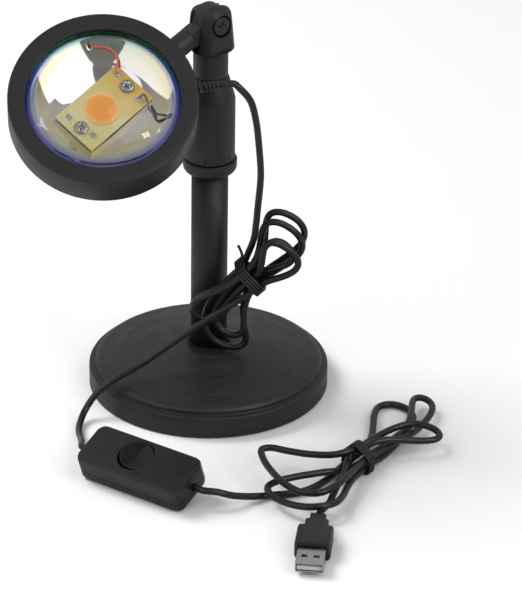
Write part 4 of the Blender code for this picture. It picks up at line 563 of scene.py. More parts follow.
lead_in = nearest_length(upper_line, drop[-1])
upper_end = lengths_along(upper_line)[-1]
drop_ends = [lead_in * share / 3 for share in range(4)]
print("the lead hangs", round(lead_in, 3), "m from the head to the hank")

# %% [markdown]
# Each cable is drawn with its thickness along its own stretch of the line. The hanging piece is cut
# in three, one for each joint. The tied hank and the rest belong to the stand.

# %% The hanging piece and the upper hank
drop_bodies = (("head", "arm"), ("arm", "turret"), ("turret", "stand"))
for i, (first_body, last_body) in enumerate(drop_bodies):
    stretch = evenly(upper_line, 0.0010, drop_ends[i], drop_ends[i + 1])
    hanging = made_mesh(lead_curve(f"hanging_lead_{i + 1}", stretch), lead_black)
    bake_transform(hanging)
    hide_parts("cord_drop")

upper_points = evenly(upper_line, 0.0011, lead_in, upper_end)
upper_lead = lead_curve("upper_lead", upper_points)
upper_lead.data.materials.append(lead_black)
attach(upper_lead, "stand")
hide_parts("hank_upper", "cord_to_switch")

lower_points = evenly(lower_line, 0.0011)
lower_lead = lead_curve("lower_lead", lower_points)
lower_lead.data.materials.append(lead_black)
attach(lower_lead, "stand")
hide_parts("cord_from_switch", "hank_lower", "cord_to_plug")
print("cable points:", len(upper_points), "and", len(lower_points))

# %% [markdown]
# ## The ties
# A thin plastic-covered wire holds each hank at its waist. It goes three and a half times round all
# the strands and ends in a short tail. It hugs the strands as a stretched string would: at every
# angle it passes the strand that reaches furthest that way.

# %% Wind the ties
tie_radius = 0.00065
tie_turns, turn_steps = 3.5, 36


def waist_spots(line, tie, out, across, stack):
    spots = []
    for point in evenly(line, cord_radius / 4):
        away = point - tie
        if away.length < tie_reach and abs(away.dot(out)) < cord_radius:
            spots.append((away.dot(across), away.dot(stack)))
    return np.array(spots)


def twist_tie(name, line, tie, out, across, stack, node):
    spots = waist_spots(line, tie, out, across, stack)
    corner = cord_radius + part_gap + tie_radius
    points = []
    for step in range(int(tie_turns * turn_steps) + 1):
        angle = math.tau * step / turn_steps
        facing = np.array((math.cos(angle), math.sin(angle)))
        x, y = spots[(spots @ facing).argmax()] + corner * facing
        slip = (step / turn_steps - tie_turns / 2) * 2.1 * tie_radius
        points.append(tie + out * slip + across * x + stack * y)
    end = points[-1]
    tail = [end - stack * (0.0006 * i) - across * (0.00012 * i * i) + out * (0.0003 * i)
            for i in range(1, 7)]
    band = made_mesh(lead_curve(name, points + tail, tie_radius, 3), lead_black)
    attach(band, "stand")
    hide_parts(node)


twist_tie("upper_tie", upper_points, upper_tie, upper_out, upper_across, upper_stack, "hank_upper_tie")
twist_tie("lower_tie", lower_points, lower_tie, lower_out, lower_across, lower_stack, "hank_lower_tie")

# %% [markdown]
# ## Helpers for turned pieces
# Most of this lamp came off a lathe or out of a round mould. The spin operator does the same: it
# sweeps an outline of radius and height once round Z and merges the seam. The outline's corners are
# rounded first by the vertex bevel, so that every edge catches a fine highlight as a real one does.

# %% Turn an outline
def mesh_object(name, work, place=None):
    """A bmesh, moved into place, as an object at the origin."""
    if place is not None:
        work.transform(place)
    mesh = bpy.data.meshes.new(name)
    work.to_mesh(mesh)
    work.free()
    return new_object(name, mesh)


def add_piece(name, work, finish, body, place=None):
    """A finished piece that rides on a body."""
    piece = mesh_object(name, work, place)
    piece.data.materials.append(finish)
    piece.data.shade_smooth()
    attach(piece, body)
    return piece


def spin_outline(outline, steps=96, ring=True, rounding=()):
    """A turned bmesh. A ring's outline is closed, another one starts and ends on the axis.
    Rounding holds (corner's number, radius)."""
    work = bmesh.new()
    verts = [work.verts.new((radius, 0, height)) for radius, height in outline]
    pairs = list(zip(verts, verts[1:])) + ([(verts[-1], verts[0])] if ring else [])
    for a, b in pairs:
        work.edges.new((a, b))
    for corner, radius in rounding:
        bmesh.ops.bevel(work, geom=[verts[corner]], offset=radius, offset_type="OFFSET", segments=4,
                        profile=0.5, affect="VERTICES", material=-1)
    bmesh.ops.spin(work, geom=work.verts[:] + work.edges[:], cent=(0, 0, 0), axis=(0, 0, 1),
                   dvec=(0, 0, 0), angle=math.tau, steps=steps, use_merge=True, use_duplicate=False)
    bmesh.ops.remove_doubles(work, verts=work.verts, dist=merge_distance)
    bmesh.ops.recalc_face_normals(work, faces=work.faces)
    return work


def carve(piece, *cutters):
    """Cuts shapes out of a piece for good and throws the cutters away."""
    for cutter in cutters:
        cut = piece.modifiers.new(cutter.name, "BOOLEAN")
        cut.operation = "DIFFERENCE"
        cut.solver = "EXACT"
        cut.object = cutter
    bpy.context.view_layer.update()
    depsgraph = bpy.context.evaluated_depsgraph_get()
    carved = bpy.data.meshes.new_from_object(piece.evaluated_get(depsgraph))
    carved.materials.clear()
    for material in piece.data.materials:
        carved.materials.append(material)
    piece.modifiers.clear()
    piece.data = carved
    carved.shade_smooth()
    for cutter in cutters:
        bpy.data.objects.remove(cutter, do_unlink=True)


def break_edges(piece, width, segments, angle):
    """Small rounded edges, with the shading of the flat faces kept flat."""
    bevel = piece.modifiers.new("edges", "BEVEL")
    bevel.width = width
    bevel.segments = segments
    bevel.limit_method = "ANGLE"
    bevel.angle_limit = math.radians(angle)
    bevel.use_clamp_overlap = True
    bevel.harden_normals = False
    weigh = piece.modifiers.new("flat_faces", "WEIGHTED_NORMAL")
    weigh.keep_sharp = True


# %% [markdown]
# ## The base
# The base cover is one moulding: a low skirt, a narrow ledge, a soft shoulder and a flat cone with
# four fine steps. In the photograph the steps show as thin light lines to the left and in front,
# where their rounded edges are turned to the light. So each is a real step in the outline, less than
# half a millimetre high, and the shoulder is a quarter of an ellipse that starts with the cone's slope.

# %% Mould the base cover
ring_radii = (0.0156, 0.0226, 0.0324, 0.0421)
ring_step, ring_width = 0.00045, 0.00060
shoulder_radius, shoulder_width = 0.0522, 0.0054
shoulder_foot, shoulder_rise = 0.0113, 0.0030
skirt_radius, skirt_foot = 0.0550, 0.0004
skirt_inside, roof_inside = 0.0530, 0.0082


def cone_height(radius):
    return cone_low + cone_rise * (cone_outer - radius) / (cone_outer - cone_inner)


outline = [(cone_inner, 0.0213)]
rounding = []
for radius in ring_radii:
    outline.append((radius - ring_width, cone_height(radius) + ring_step))
    rounding.append((len(outline) - 1, 0.00042))
    outline.append((radius, cone_height(radius)))
    rounding.append((len(outline) - 1, 0.00020))
for turn_by in (80.3, 72, 64, 56, 48, 40, 32, 22, 10, 0):
    angle = math.radians(turn_by)
    outline.append((shoulder_radius - shoulder_width + shoulder_width * math.cos(angle),
                    shoulder_foot + shoulder_rise * math.sin(angle)))
for radius, height, softness in ((shoulder_radius, 0.0103, 0.0006), (skirt_radius, 0.0101, 0.0007),
                                 (skirt_radius, skirt_foot, 0.0003)):
    outline.append((radius, height))
    rounding.append((len(outline) - 1, softness))
outline += [(skirt_inside, skirt_foot), (skirt_inside, roof_inside), (0.0486, roof_inside),
            (0.0486, 0.0118), (0.0108, 0.0183), (0.0108, 0.0058), (0.0018, 0.0058), (0.0018, 0.0078),
            (cone_inner, 0.0078)]
base_shell = add_piece("base_shell", spin_outline(outline, 192, True, rounding), cover_black, "stand")
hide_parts("base_cover")
print("base cover faces:", len(base_shell.data.polygons))

# %% [markdown]
# ## The column
# The column is a drawn tube with a wider collar at its top. The sleeve above turns on it, so a thin
# dark line runs round between the two. Six staking dimples near the sleeve's lower edge hold its
# bush. They are pressed in from outside, so spheres are cut out of the sleeve's wall.

# %% Turn the tube, the collar and the sleeve
tube_bore, tube_foot, tube_top = 0.0070, 0.0081, 0.1137
outline = [(tube_bore, tube_top), (column_radius, tube_top), (column_radius, tube_foot),
           (tube_bore, tube_foot)]
column_tube = add_piece("column_tube", spin_outline(outline, 96), coated_black, "stand")
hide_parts("lower_tube")

collar_bore, collar_radius, collar_foot, collar_top = 0.0086, 0.0122, 0.1074, 0.1140
outline = [(collar_bore, collar_top), (collar_radius, collar_top), (collar_radius, collar_foot),
           (collar_bore, collar_foot)]
column_collar = add_piece("column_collar", spin_outline(outline, 96, True, [(2, 0.0033), (1, 0.0004)]),
                          coated_black, "stand")
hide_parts("collar_ring")

sleeve_radius, sleeve_bore, sleeve_foot = 0.0112, 0.0099, 0.1143
outline = [(0.0069, 0.1545), (0.0081, 0.1545), (0.0109, 0.1447), (sleeve_radius, 0.1434),
           (sleeve_radius, 0.1184), (sleeve_radius, 0.1150), (sleeve_radius, sleeve_foot),
           (sleeve_bore, sleeve_foot), (sleeve_bore, 0.1434), (0.0069, 0.1532)]
rounding = [(1, 0.0006), (6, 0.0003)]
turning_sleeve = add_piece("turning_sleeve", spin_outline(outline, 96, True, rounding),
                           coated_black, "turret")
ball_radius, dimple_depth, dimple_height, first_dimple = 0.0013, 0.0005, 0.1167, -101
dimple_work = bmesh.new()
for i in range(6):
    angle = math.radians(first_dimple + 60 * i)
    reach = sleeve_radius + ball_radius - dimple_depth
    spot = reach * math.cos(angle), reach * math.sin(angle), dimple_height
    bmesh.ops.create_uvsphere(dimple_work, u_segments=24, v_segments=16, radius=ball_radius,
                              matrix=Matrix.Translation(spot))
carve(turning_sleeve, mesh_object("staking_balls", dimple_work))
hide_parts("upper_sleeve")
print("sleeve faces:", len(turning_sleeve.data.polygons))

# %% [markdown]
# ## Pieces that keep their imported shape
# The fork, the arm, the nuts, the switch and the plug are already the right shape. Their packed
# meshes are loose triangles, so a copy is merged, its flat faces are joined, and its edges get a
# small bevel. Weighted normals keep the flats flat and let only the bevels shine.

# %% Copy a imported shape
def dressed_copy(name, node, finish, body, edge, angle=35, segments=3):
    work = bmesh.new()
    work.from_mesh(frame["nodes"][node].data)
    bmesh.ops.remove_doubles(work, verts=work.verts, dist=0.000002)
    bmesh.ops.dissolve_limit(work, angle_limit=math.radians(1.5), verts=work.verts, edges=work.edges)
    bmesh.ops.recalc_face_normals(work, faces=work.faces)
    piece = add_piece(name, work, finish, body)
    stale = piece.data.attributes.get("custom_normal")
    if stale:
        piece.data.attributes.remove(stale)
    break_edges(piece, edge, segments, angle)
    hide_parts(node)
    return piece


fork_head = dressed_copy("fork_head", "knuckle", coated_black, "turret", 0.00035)
dressed_copy("fork_nut", "hinge_nut", screw_black, "turret", 0.0002)
dressed_copy("round_arm", "arm", coated_black, "arm", 0.00035)
dressed_copy("rear_plate", "back_cover", coated_black, "head", 0.0002)
print("fork faces:", len(fork_head.data.polygons))

# %% [markdown]
# ## The hinge screw
# A black pan-head screw holds the arm in the fork. Its head is turned with a rounded edge, and the
# cross slot is cut by two bars that narrow towards the bottom, as a screwdriver's tip does.

# %% Turn the screw and cut its cross
corner_share = 1.4142            # a four-sided cone's radius is measured to its corners


def cross_cutters(name, length, width, depth, place):
    """Two separate bars: a cutter whose own parts lie in each other would spoil the cut."""
    bars = []
    for bar, turn_by in enumerate((0, math.pi / 2)):
        work = bmesh.new()
        bmesh.ops.create_cone(work, cap_ends=True, segments=4, radius1=length * 0.30, radius2=length / 2,
                              depth=2 * depth, matrix=Matrix.Rotation(math.pi / 4, 4, "Z"))
        bmesh.ops.scale(work, vec=(corner_share, corner_share * width / length, 1), verts=work.verts)
        bmesh.ops.rotate(work, cent=(0, 0, 0), matrix=Matrix.Rotation(turn_by, 3, "Z"), verts=work.verts)
        bars.append(mesh_object(f"{name}_{bar + 1}", work, place))
    return bars


pan_top, pan_low, shank_end = 0.0082, 0.0062, -0.0092
pan_radius, shank_radius = 0.0044, 0.0022
outline = [(0, pan_top), (pan_radius, pan_top), (pan_radius, pan_low), (shank_radius, pan_low),
           (shank_radius, shank_end), (0, shank_end)]
along_hinge = hinge_frame @ Matrix.Rotation(math.pi / 2, 4, "Y")
screw_work = spin_outline(outline, 64, False, [(1, 0.0007), (2, 0.0002), (4, 0.0003)])
pan_screw = add_piece("pan_screw", screw_work, screw_black, "turret", along_hinge)
carve(pan_screw, *cross_cutters("screw_cross", 0.0054, 0.0012, 0.0014,
                                along_hinge @ Matrix.Translation((0, 0, pan_top))))
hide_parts("hinge_screw")
print("screw faces:", len(pan_screw.data.polygons))

# %% [markdown]
# ## The head's drum
# The head is a short drum with a flat front ring. Its edges are only just broken, so the ring reads
# as one even dark surface, and the drum's side as a lighter band below it. The arm's spigot and the
# lead's two wires go through its wall, so both holes are cut.

# %% Turn the drum
front = 0.0088
ring_breadth, drum_wall, ring_thickness = 0.00783, 0.0022, 0.0023
lens_opening = head_radius - ring_breadth
drum_bore = head_radius - drum_wall
under_ring = front - ring_thickness
outline = [(lens_opening, front), (head_radius, front), (head_radius, -front), (drum_bore, -front),
           (drum_bore, under_ring), (lens_opening, under_ring)]
rounding = [(0, 0.0004), (1, 0.0007), (2, 0.0012), (3, 0.0003)]
head_drum = add_piece("head_drum", spin_outline(outline, 160, True, rounding), head_black, "head",
                      head_frame)


wall_hole = boot_forward - 0.0010


def radial_hole(name, radius, angle, height):
    work = bmesh.new()
    bmesh.ops.create_cone(work, cap_ends=True, segments=32, radius1=radius, radius2=radius, depth=0.008)
    place = (head_frame @ Matrix.Translation(around((drum_bore + head_radius) / 2, angle, height)) @
             Matrix.Rotation(angle, 4, "Z") @ Matrix.Rotation(math.pi / 2, 4, "Y"))
    return mesh_object(name, work, place)


carve(head_drum, radial_hole("spigot_hole", 0.0033, arm_entry, 0),
      radial_hole("wire_hole", 0.0014, boot_turn, wall_hole))
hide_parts("head_shell")
print("drum faces:", len(head_drum.data.polygons))

# %% [markdown]
# ## The mirror dish
# Behind the lens lies a polished dish. It is a mirror, so its shape must be smooth and its colour
# simple: what one sees in it are the two soft boxes beside the camera, the dark gap between them, and
# the board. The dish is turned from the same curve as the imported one, with many more steps. The real
# one is a shallow cone right under the board, which a bump adds: its height grows with the distance
# from the axis, so each box shows as a wedge with straight sides that point to the middle.

# %% Turn the dish
def local_places(material, place):
    """Object coordinates turned into a piece's own frame by a Mapping node."""
    tree = material.node_tree
    places = tree.nodes.new("ShaderNodeTexCoord")
    mapping = tree.nodes.new("ShaderNodeMapping")
    inverse = place.inverted()
    mapping.inputs["Location"].default_value = inverse.translation
    mapping.inputs["Rotation"].default_value = inverse.to_euler()
    tree.links.new(places.outputs["Object"], mapping.inputs["Vector"])
    return mapping.outputs["Vector"]


def distance_from_axis(material, place):
    tree = material.node_tree
    flat = tree.nodes.new("ShaderNodeVectorMath")
    flat.operation = "MULTIPLY"
    flat.inputs[1].default_value = (1, 1, 0)
    tree.links.new(local_places(material, place), flat.inputs[0])
    distance = tree.nodes.new("ShaderNodeVectorMath")
    distance.operation = "LENGTH"
    tree.links.new(flat.outputs["Vector"], distance.inputs[0])
    return distance.outputs["Value"]


def lean_inward(material, place, slope, reach):
    """A bump that rises evenly away from the axis and levels out round the given distance."""
    tree = material.node_tree
    level = tree.nodes.new("ShaderNodeMath")
    level.operation = "SMOOTH_MIN"
    level.inputs[1].default_value = reach
    level.inputs[2].default_value = 0.0105
    tree.links.new(distance_from_axis(material, place), level.inputs[0])
    rise = tree.nodes.new("ShaderNodeMath")
    rise.operation = "MULTIPLY"
    rise.inputs[1].default_value = slope
    tree.links.new(level.outputs["Value"], rise.inputs[0])
    add_bump(material, rise.outputs["Value"], 1, 1)


flange_thickness, dish_depth, dish_thickness = 0.0014, 0.0036, 0.0008
flange_low = under_ring - part_gap - flange_thickness
dish_top = flange_low - part_gap
dish_floor = dish_top - dish_depth
dish_rim = lens_opening
dish_lip = dish_rim - 0.0021
floor_radius = dish_lip * 0.66


def dish_spots(steps, lower=0):
    """Radius and height along the dish's curve, from the floor at 0 to the lip at 16."""
    return [(lerp(floor_radius, dish_lip, i / 16), dish_floor + dish_depth * (i / 16) ** 2 - lower)
            for i in steps]


outline = [(0, dish_floor)] + dish_spots(range(17))
outline += [(dish_rim, dish_top), (dish_rim, dish_top - dish_thickness)]
outline += dish_spots(range(16, -1, -1), dish_thickness) + [(0, dish_floor - dish_thickness)]
polished = new_finish("polished_dish", (0.80, 0.79, 0.78), 0.05, 1.0)
vary_roughness(polished, 90, 0.03, 0.07)
lean_inward(polished, head_frame, math.tan(math.radians(21)), 0.0240)
mirror_dish = add_piece("mirror_dish", spin_outline(outline, 160, False), polished, "head",
                        head_frame)
wire_radius = 0.0005
red_turn, black_turn = math.radians(103), math.radians(-10)
wire_level = dish_top - dish_thickness - wire_radius - part_gap
wire_holes = bmesh.new()
for angle in (red_turn, black_turn):
    hole = (Matrix.Translation(around(dish_rim, angle, wire_level)) @ Matrix.Rotation(angle, 4, "Z") @
            Matrix.Rotation(math.pi / 2, 4, "Y"))
    bmesh.ops.create_cone(wire_holes, cap_ends=True, segments=24, radius1=0.00075, radius2=0.00075,
                          depth=0.0278, matrix=hole)
carve(mirror_dish, mesh_object("wire_holes", wire_holes, head_frame))
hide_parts("reflector")
print("dish faces:", len(mirror_dish.data.polygons))

# %% [markdown]
# ## The light board
# The board is a small plate plated in gold-yellow, more amber at its upper corner, with tin on its
# four solder pads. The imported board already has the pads, so it is dressed, and the pads' faces get
# the tin. The emitter is a soft orange disc cast on the board, thick in the middle and thin at its
# rim.

# %% Finish the board
board_turn = math.radians(45.5)
board_length, board_width = 1.092 * lens_opening, 0.664 * lens_opening
board_top = dish_floor + part_gap + 0.0016
board_x, board_y = 0.0004, -0.0016


def on_board(across, up, height):
    """A place on the board from shares of its length and width."""
    x, y = across * board_length, up * board_width
    return Vector((board_x + x * math.cos(board_turn) - y * math.sin(board_turn),
                   board_y + x * math.sin(board_turn) + y * math.cos(board_turn), height))


board_frame = (head_frame @ Matrix.Translation(on_board(0, 0, board_top)) @
               Matrix.Rotation(board_turn, 4, "Z"))


def ramp_on(material, value, first, last, stops):
    """Colours along a value that goes from first to last."""
    tree = material.node_tree
    return colour_ramp(tree, map_range(tree, value, first, last), stops)


plated_board = new_finish("plated_board", (0.72, 0.60, 0.24), 0.34, 0.25)
board_places = plated_board.node_tree.nodes.new("ShaderNodeSeparateXYZ")
plated_board.node_tree.links.new(local_places(plated_board, board_frame), board_places.inputs["Vector"])
gold = ramp_on(plated_board, board_places.outputs["X"], -board_length / 2, board_length / 2,
               [(0.0, (0.58, 0.54, 0.30)), (0.5, (0.60, 0.52, 0.24)), (1.0, (0.58, 0.36, 0.06))])
feed(plated_board, "Base Color", gold)
add_grain(plated_board, 900, 0.15)
tinned = new_finish("tinned_pad", (0.62, 0.60, 0.62), 0.28, 1.0)
vary_roughness(tinned, 900, 0.18, 0.38)
board_edge = new_finish("cut_edge", (0.80, 0.76, 0.60), 0.34)
add_grain(board_edge, 1800, 0.3)

light_board = dressed_copy("light_board", "led_board", plated_board, "head", 0.00012, segments=2)
light_board.data.materials.append(tinned)
light_board.data.materials.append(board_edge)
to_board = board_frame.inverted()
for polygon in light_board.data.polygons:
    centre = to_board @ polygon.center
    normal = to_board.to_3x3() @ polygon.normal
    if centre.z > 0.00005:
        polygon.material_index = 1
    elif abs(normal.z) < 0.5:
        polygon.material_index = 2
print("board faces:", len(light_board.data.polygons))

# %% [markdown]
# The emitter's disc and the two screws beside it are turned, and the solder on the pads is a small
# flattened blob on each. The screws' cross slots catch the light and show as bright specks.

# %% Emitter, screws and solder
emitter_radius, emitter_low = 0.0080, 0.0001
outline = [(0, 0.0007), (0.0060, 0.00062), (0.0074, 0.00045), (emitter_radius, emitter_low),
           (0, emitter_low)]
phosphor_orange = new_finish("phosphor_orange", (0.86, 0.38, 0.07), 0.45)
shader_of(phosphor_orange).inputs["Subsurface Weight"].default_value = 0.2
shader_of(phosphor_orange).inputs["Subsurface Radius"].default_value = (0.002, 0.001, 0.0005)
emitter_work = spin_outline(outline, 64, False, [(3, 0.0002)])
emitter_place = head_frame @ Matrix.Translation(on_board(-0.035, 0, board_top))
glow = ramp_on(phosphor_orange, distance_from_axis(phosphor_orange, emitter_place), 0.0, emitter_radius,
               [(0.0, (0.63, 0.24, 0.04)), (0.70, (0.65, 0.27, 0.05)), (0.90, (0.64, 0.38, 0.12)),
                (1.0, (0.59, 0.48, 0.22))])
feed(phosphor_orange, "Base Color", glow)
add_grain(phosphor_orange, 1600, 0.2)
emitter = add_piece("orange_emitter", emitter_work, phosphor_orange, "head", emitter_place)
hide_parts("led_phosphor")

screw_steel = new_finish("screw_steel", (0.46, 0.45, 0.47), 0.28, 1.0)
vary_roughness(screw_steel, 700, 0.18, 0.36)
cap_radius, cap_top, stem_radius, stem_end = 0.0031, 0.0014, 0.0010, -0.0037
outline = [(0, cap_top), (cap_radius, cap_top), (cap_radius, part_gap), (stem_radius, part_gap),
           (stem_radius, stem_end), (0, stem_end)]
for i, (across, up) in enumerate(((0.385, 0.01), (-0.385, -0.02))):
    place = (head_frame @ Matrix.Translation(on_board(across, up, board_top)) @
             Matrix.Rotation(0.5 + i, 4, "Z"))
    head_work = spin_outline(outline, 48, False, [(1, 0.0008)])
    board_screw = add_piece(f"board_screw_{i + 1}", head_work, screw_steel, "head", place)
    carve(board_screw, *cross_cutters(f"board_cross_{i + 1}", 0.0034, 0.0008, 0.0009,
                                      place @ Matrix.Translation((0, 0, cap_top))))
    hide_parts(f"led_screw_{i + 1}")

pad_shares = (0.415, 0.33), (0.36, -0.355)
blobs = bmesh.new()
for across, up in pad_shares:
    blob = bmesh.ops.create_icosphere(blobs, subdivisions=3, radius=0.0010)
    bmesh.ops.scale(blobs, vec=(1.0, 0.8, 0.45), verts=blob["verts"])
    on_pad = Matrix.Translation(on_board(across, up, board_top + part_gap))
    bmesh.ops.transform(blobs, matrix=on_pad, verts=blob["verts"])
add_piece("solder_blobs", blobs, tinned, "head", head_frame)

# %% [markdown]
# ## The two feed wires
# A red and a dark wire leave the pads, bend over the dish and pass through its rim. The red one bows
# up over the board's corner, and the dark one makes a small S. Their packed tubes are four-sided and
# straighter, so they are drawn again as round tubes through the spots seen in the photograph. Behind
# the dish they run on to the strain relief, as packed.

# %% Draw the wires
back_inside = -front + 0.0006 + 0.0018
sink_radius = lens_opening - part_gap
sink_top = dish_floor - dish_thickness - part_gap
over_board = board_top + part_gap + part_gap + wire_radius
below = back_inside + part_gap + 2 * wire_radius
wire_rim = sink_radius + part_gap
channel = (wire_rim + drum_bore) / 2
under = (sink_radius - 0.0071 + sink_radius) / 2
wire_apart = 1.35 * wire_radius / drum_bore
red_pad, dark_pad = (on_board(across, up, over_board) for across, up in pad_shares)
red_lag = [math.radians(lag) for lag in (5, 9, 14)]


def over(x, y, rise):
    return Vector((x, y, over_board + rise))


def out_of_the_head(turn):
    """The last two spots of a wire, through the drum's wall."""
    return [around(drum_bore - 2 * wire_radius, turn, wall_hole),
            around(head_radius - part_gap, turn, wall_hole)]


red_spots = [red_pad, over(0.0058, 0.0172, 0.0010), over(0.0056, 0.0210, 0.0014),
             over(0.0034, 0.0246, 0.0014), over(-0.0002, 0.0268, 0.0004),
             around(wire_rim - 0.0060, red_turn - math.radians(3), wire_level + 0.0006),
             around(wire_rim - 0.0021, red_turn, wire_level),
             around(wire_rim + wire_radius, red_turn, wire_level),
             around(channel, red_turn - red_lag[0], sink_top),
             around(channel, red_turn - red_lag[1], below)]
red_spots += [around(under, lerp(red_turn - red_lag[2], boot_turn + wire_apart, i / 5), below)
              for i in range(6)]
red_spots.append(around(channel, boot_turn + wire_apart, lerp(below, wall_hole, 0.35)))
red_spots += out_of_the_head(boot_turn + wire_apart)
dark_spots = [dark_pad, over(0.0172, 0.0040, 0.0010), over(0.0188, 0.0010, 0.0012),
              over(0.0196, -0.0022, 0.0006), over(0.0212, -0.0042, 0),
              around(wire_rim - 0.0076, black_turn - math.radians(1), wire_level + 0.0004),
              around(wire_rim - 0.0021, black_turn, wire_level),
              around(wire_rim + wire_radius, black_turn, wire_level),
              around(channel, black_turn + math.radians(8), lerp(wire_level, wall_hole, 0.4))]
dark_spots += out_of_the_head(boot_turn - wire_apart)
red_sheath = new_finish("red_sheath", (0.62, 0.09, 0.05), 0.38)
vary_colour(red_sheath, 300, (0.55, 0.07, 0.04), (0.68, 0.11, 0.06))
dark_sheath = new_finish("dark_sheath", (0.06, 0.065, 0.10), 0.38)
vary_colour(dark_sheath, 300, (0.05, 0.055, 0.09), (0.07, 0.075, 0.12))
for name, spots, finish, node in (("red_feed_wire", red_spots, red_sheath, "red_wire"),
                                  ("dark_feed_wire", dark_spots, dark_sheath, "black_wire")):
    line = [head_frame @ spot for spot in smooth(spots, wire_radius)]
    wire = made_mesh(lead_curve(name, line, wire_radius, 3), finish)
    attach(wire, "head")
    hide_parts(node)
print("wire points:", len(line))

# %% [markdown]
# ## The lens
# The lens is a clear dome with a thin colour film, the kind that throws a sunset on a wall. The film
# shows pale yellow and then violet-blue at the steep rim, teal and rose along the top edge, and next
# to nothing in the middle, so the film's depth grows from nothing towards the rim. Its tint follows
# the distance from the lens's axis, with one row of colours for the sides and one for the top. Light
# from the dish takes it on at four surfaces, so the tints are paler than what one sees. Lamps can't be
# sampled through bent glass, so for shadow rays the dome is plain transparent, which lets the light
# in to the board.

# %% Turn the dome
edge = lens_opening - part_gap
flange = lens_opening + 0.0019
lens_rise, lens_thickness = 0.0125, 0.0018
dome_radius = (edge ** 2 + lens_rise ** 2) / (2 * lens_rise)
dome_centre = under_ring + lens_rise - dome_radius
dome_inside = dome_radius - lens_thickness
outer_angle = math.asin((under_ring - dome_centre) / dome_radius)
inner_angle = math.asin((flange_low - dome_centre) / dome_inside)


def dome_arc(radius, first, last):
    """Spots from one angle to another on a circle round the dome's centre."""
    angles = [lerp(first, last, i / 24) for i in range(25)]
    return [(radius * math.cos(angle), dome_centre + radius * math.sin(angle)) for angle in angles]


outline = dome_arc(dome_radius, math.pi / 2, outer_angle)
outline += [(edge, under_ring - part_gap), (flange, under_ring - part_gap), (flange, flange_low)]
outline += dome_arc(dome_inside, inner_angle, math.pi / 2)
outline[0] = (0, dome_centre + dome_radius)
outline[-1] = (0, dome_centre + dome_inside)

film_glass = new_finish("film_glass", (0.96, 0.97, 0.99), 0.02)
glass = shader_of(film_glass)
glass.inputs["Transmission Weight"].default_value = 1.0
glass.inputs["IOR"].default_value = 1.26
glass.inputs["Thin Film IOR"].default_value = 1.9
tree = film_glass.node_tree
from_axis = distance_from_axis(film_glass, head_frame)
film_depth = map_range(tree, from_axis, lens_opening * 0.84, lens_opening, 0, 460)
feed(film_glass, "Thin Film Thickness", film_depth)
side_tint = ramp_on(film_glass, from_axis, 0.0, lens_opening,
                    [(0.0, (0.985, 0.985, 0.985)), (0.45, (0.97, 0.955, 0.975)),
                     (0.66, (0.975, 0.965, 0.89)), (0.80, (0.97, 0.90, 0.60)), (0.87, (0.94, 0.91, 0.84)),
                     (0.92, (0.48, 0.52, 0.98)), (1.0, (0.20, 0.24, 0.90))])
top_tint = ramp_on(film_glass, from_axis, 0.0, lens_opening,
                   [(0.0, (0.99, 0.99, 0.99)), (0.70, (0.965, 0.985, 0.975)), (0.82, (0.72, 0.95, 0.89)),
                    (0.89, (0.92, 0.78, 0.85)), (0.94, (0.36, 0.84, 0.80)), (1.0, (0.56, 0.50, 0.84))])
film_height = tree.nodes.new("ShaderNodeSeparateXYZ")
tree.links.new(local_places(film_glass, head_frame), film_height.inputs["Vector"])
upward = map_range(tree, film_height.outputs["Y"], lens_opening * 0.35, lens_opening * 0.85)
film_tint = tree.nodes.new("ShaderNodeMix")
film_tint.data_type = "RGBA"
tree.links.new(upward, film_tint.inputs["Factor"])
tree.links.new(side_tint, film_tint.inputs["A"])
tree.links.new(top_tint, film_tint.inputs["B"])
feed(film_glass, "Base Color", film_tint.outputs["Result"])
light_path = tree.nodes.new("ShaderNodeLightPath")
clear_way = tree.nodes.new("ShaderNodeBsdfTransparent")
clear_way.inputs["Color"].default_value = (0.92, 0.92, 0.92, 1)
blend = tree.nodes.new("ShaderNodeMixShader")
tree.links.new(light_path.outputs["Is Shadow Ray"], blend.inputs["Fac"])
tree.links.new(glass.outputs["BSDF"], blend.inputs[1])
tree.links.new(clear_way.outputs["BSDF"], blend.inputs[2])
output = tree.nodes["Material Output"]
tree.links.new(blend.outputs["Shader"], output.inputs["Surface"])

lens = add_piece("film_lens", spin_outline(outline, 160, False), film_glass, "head", head_frame)
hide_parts("lens_dome")
print("lens faces:", len(lens.data.polygons))

# %% [markdown]
# ## The strain relief
# Where the lead leaves the head sits a ribbed rubber sleeve. Its ribs let it bend evenly. It is
# turned from one outline that steps in and out five times and grows thinner towards the lead.

# %% Turn the ribbed sleeve
start = head_radius + part_gap
rib = (boot_length - 0.00215 / 2) / 5.5
outline = [(0, start), (0.0029, start), (0.0029, start + 0.0007), (0.00215, start + 0.0011)]
rounding = [(1, 0.0002), (2, 0.0003)]
for i in range(5):
    spot = start + 0.00107 + rib * (i + 0.5)
    size = lerp(0.00228, 0.00206, i / 4)
    outline += [(size, spot), (size - 0.00085, spot + rib * 0.08), (size - 0.00085, spot + rib * 0.46),
                (size, spot + rib * 0.54)]
outline += [(0.00205, start + boot_length), (0.0016, start + boot_length), (0, start + boot_length)]
rounding.append((len(outline) - 3, 0.0002))
boot_place = (head_frame @ Matrix.Translation((0, 0, boot_forward)) @ Matrix.Rotation(boot_turn, 4, "Z") @
              Matrix.Rotation(math.pi / 2, 4, "Y"))
ribbed_sleeve = add_piece("ribbed_sleeve", spin_outline(outline, 48, False, rounding), lead_black, "head",
                          boot_place)
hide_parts("cord_boot")
print("ribbed sleeve faces:", len(ribbed_sleeve.data.polygons))

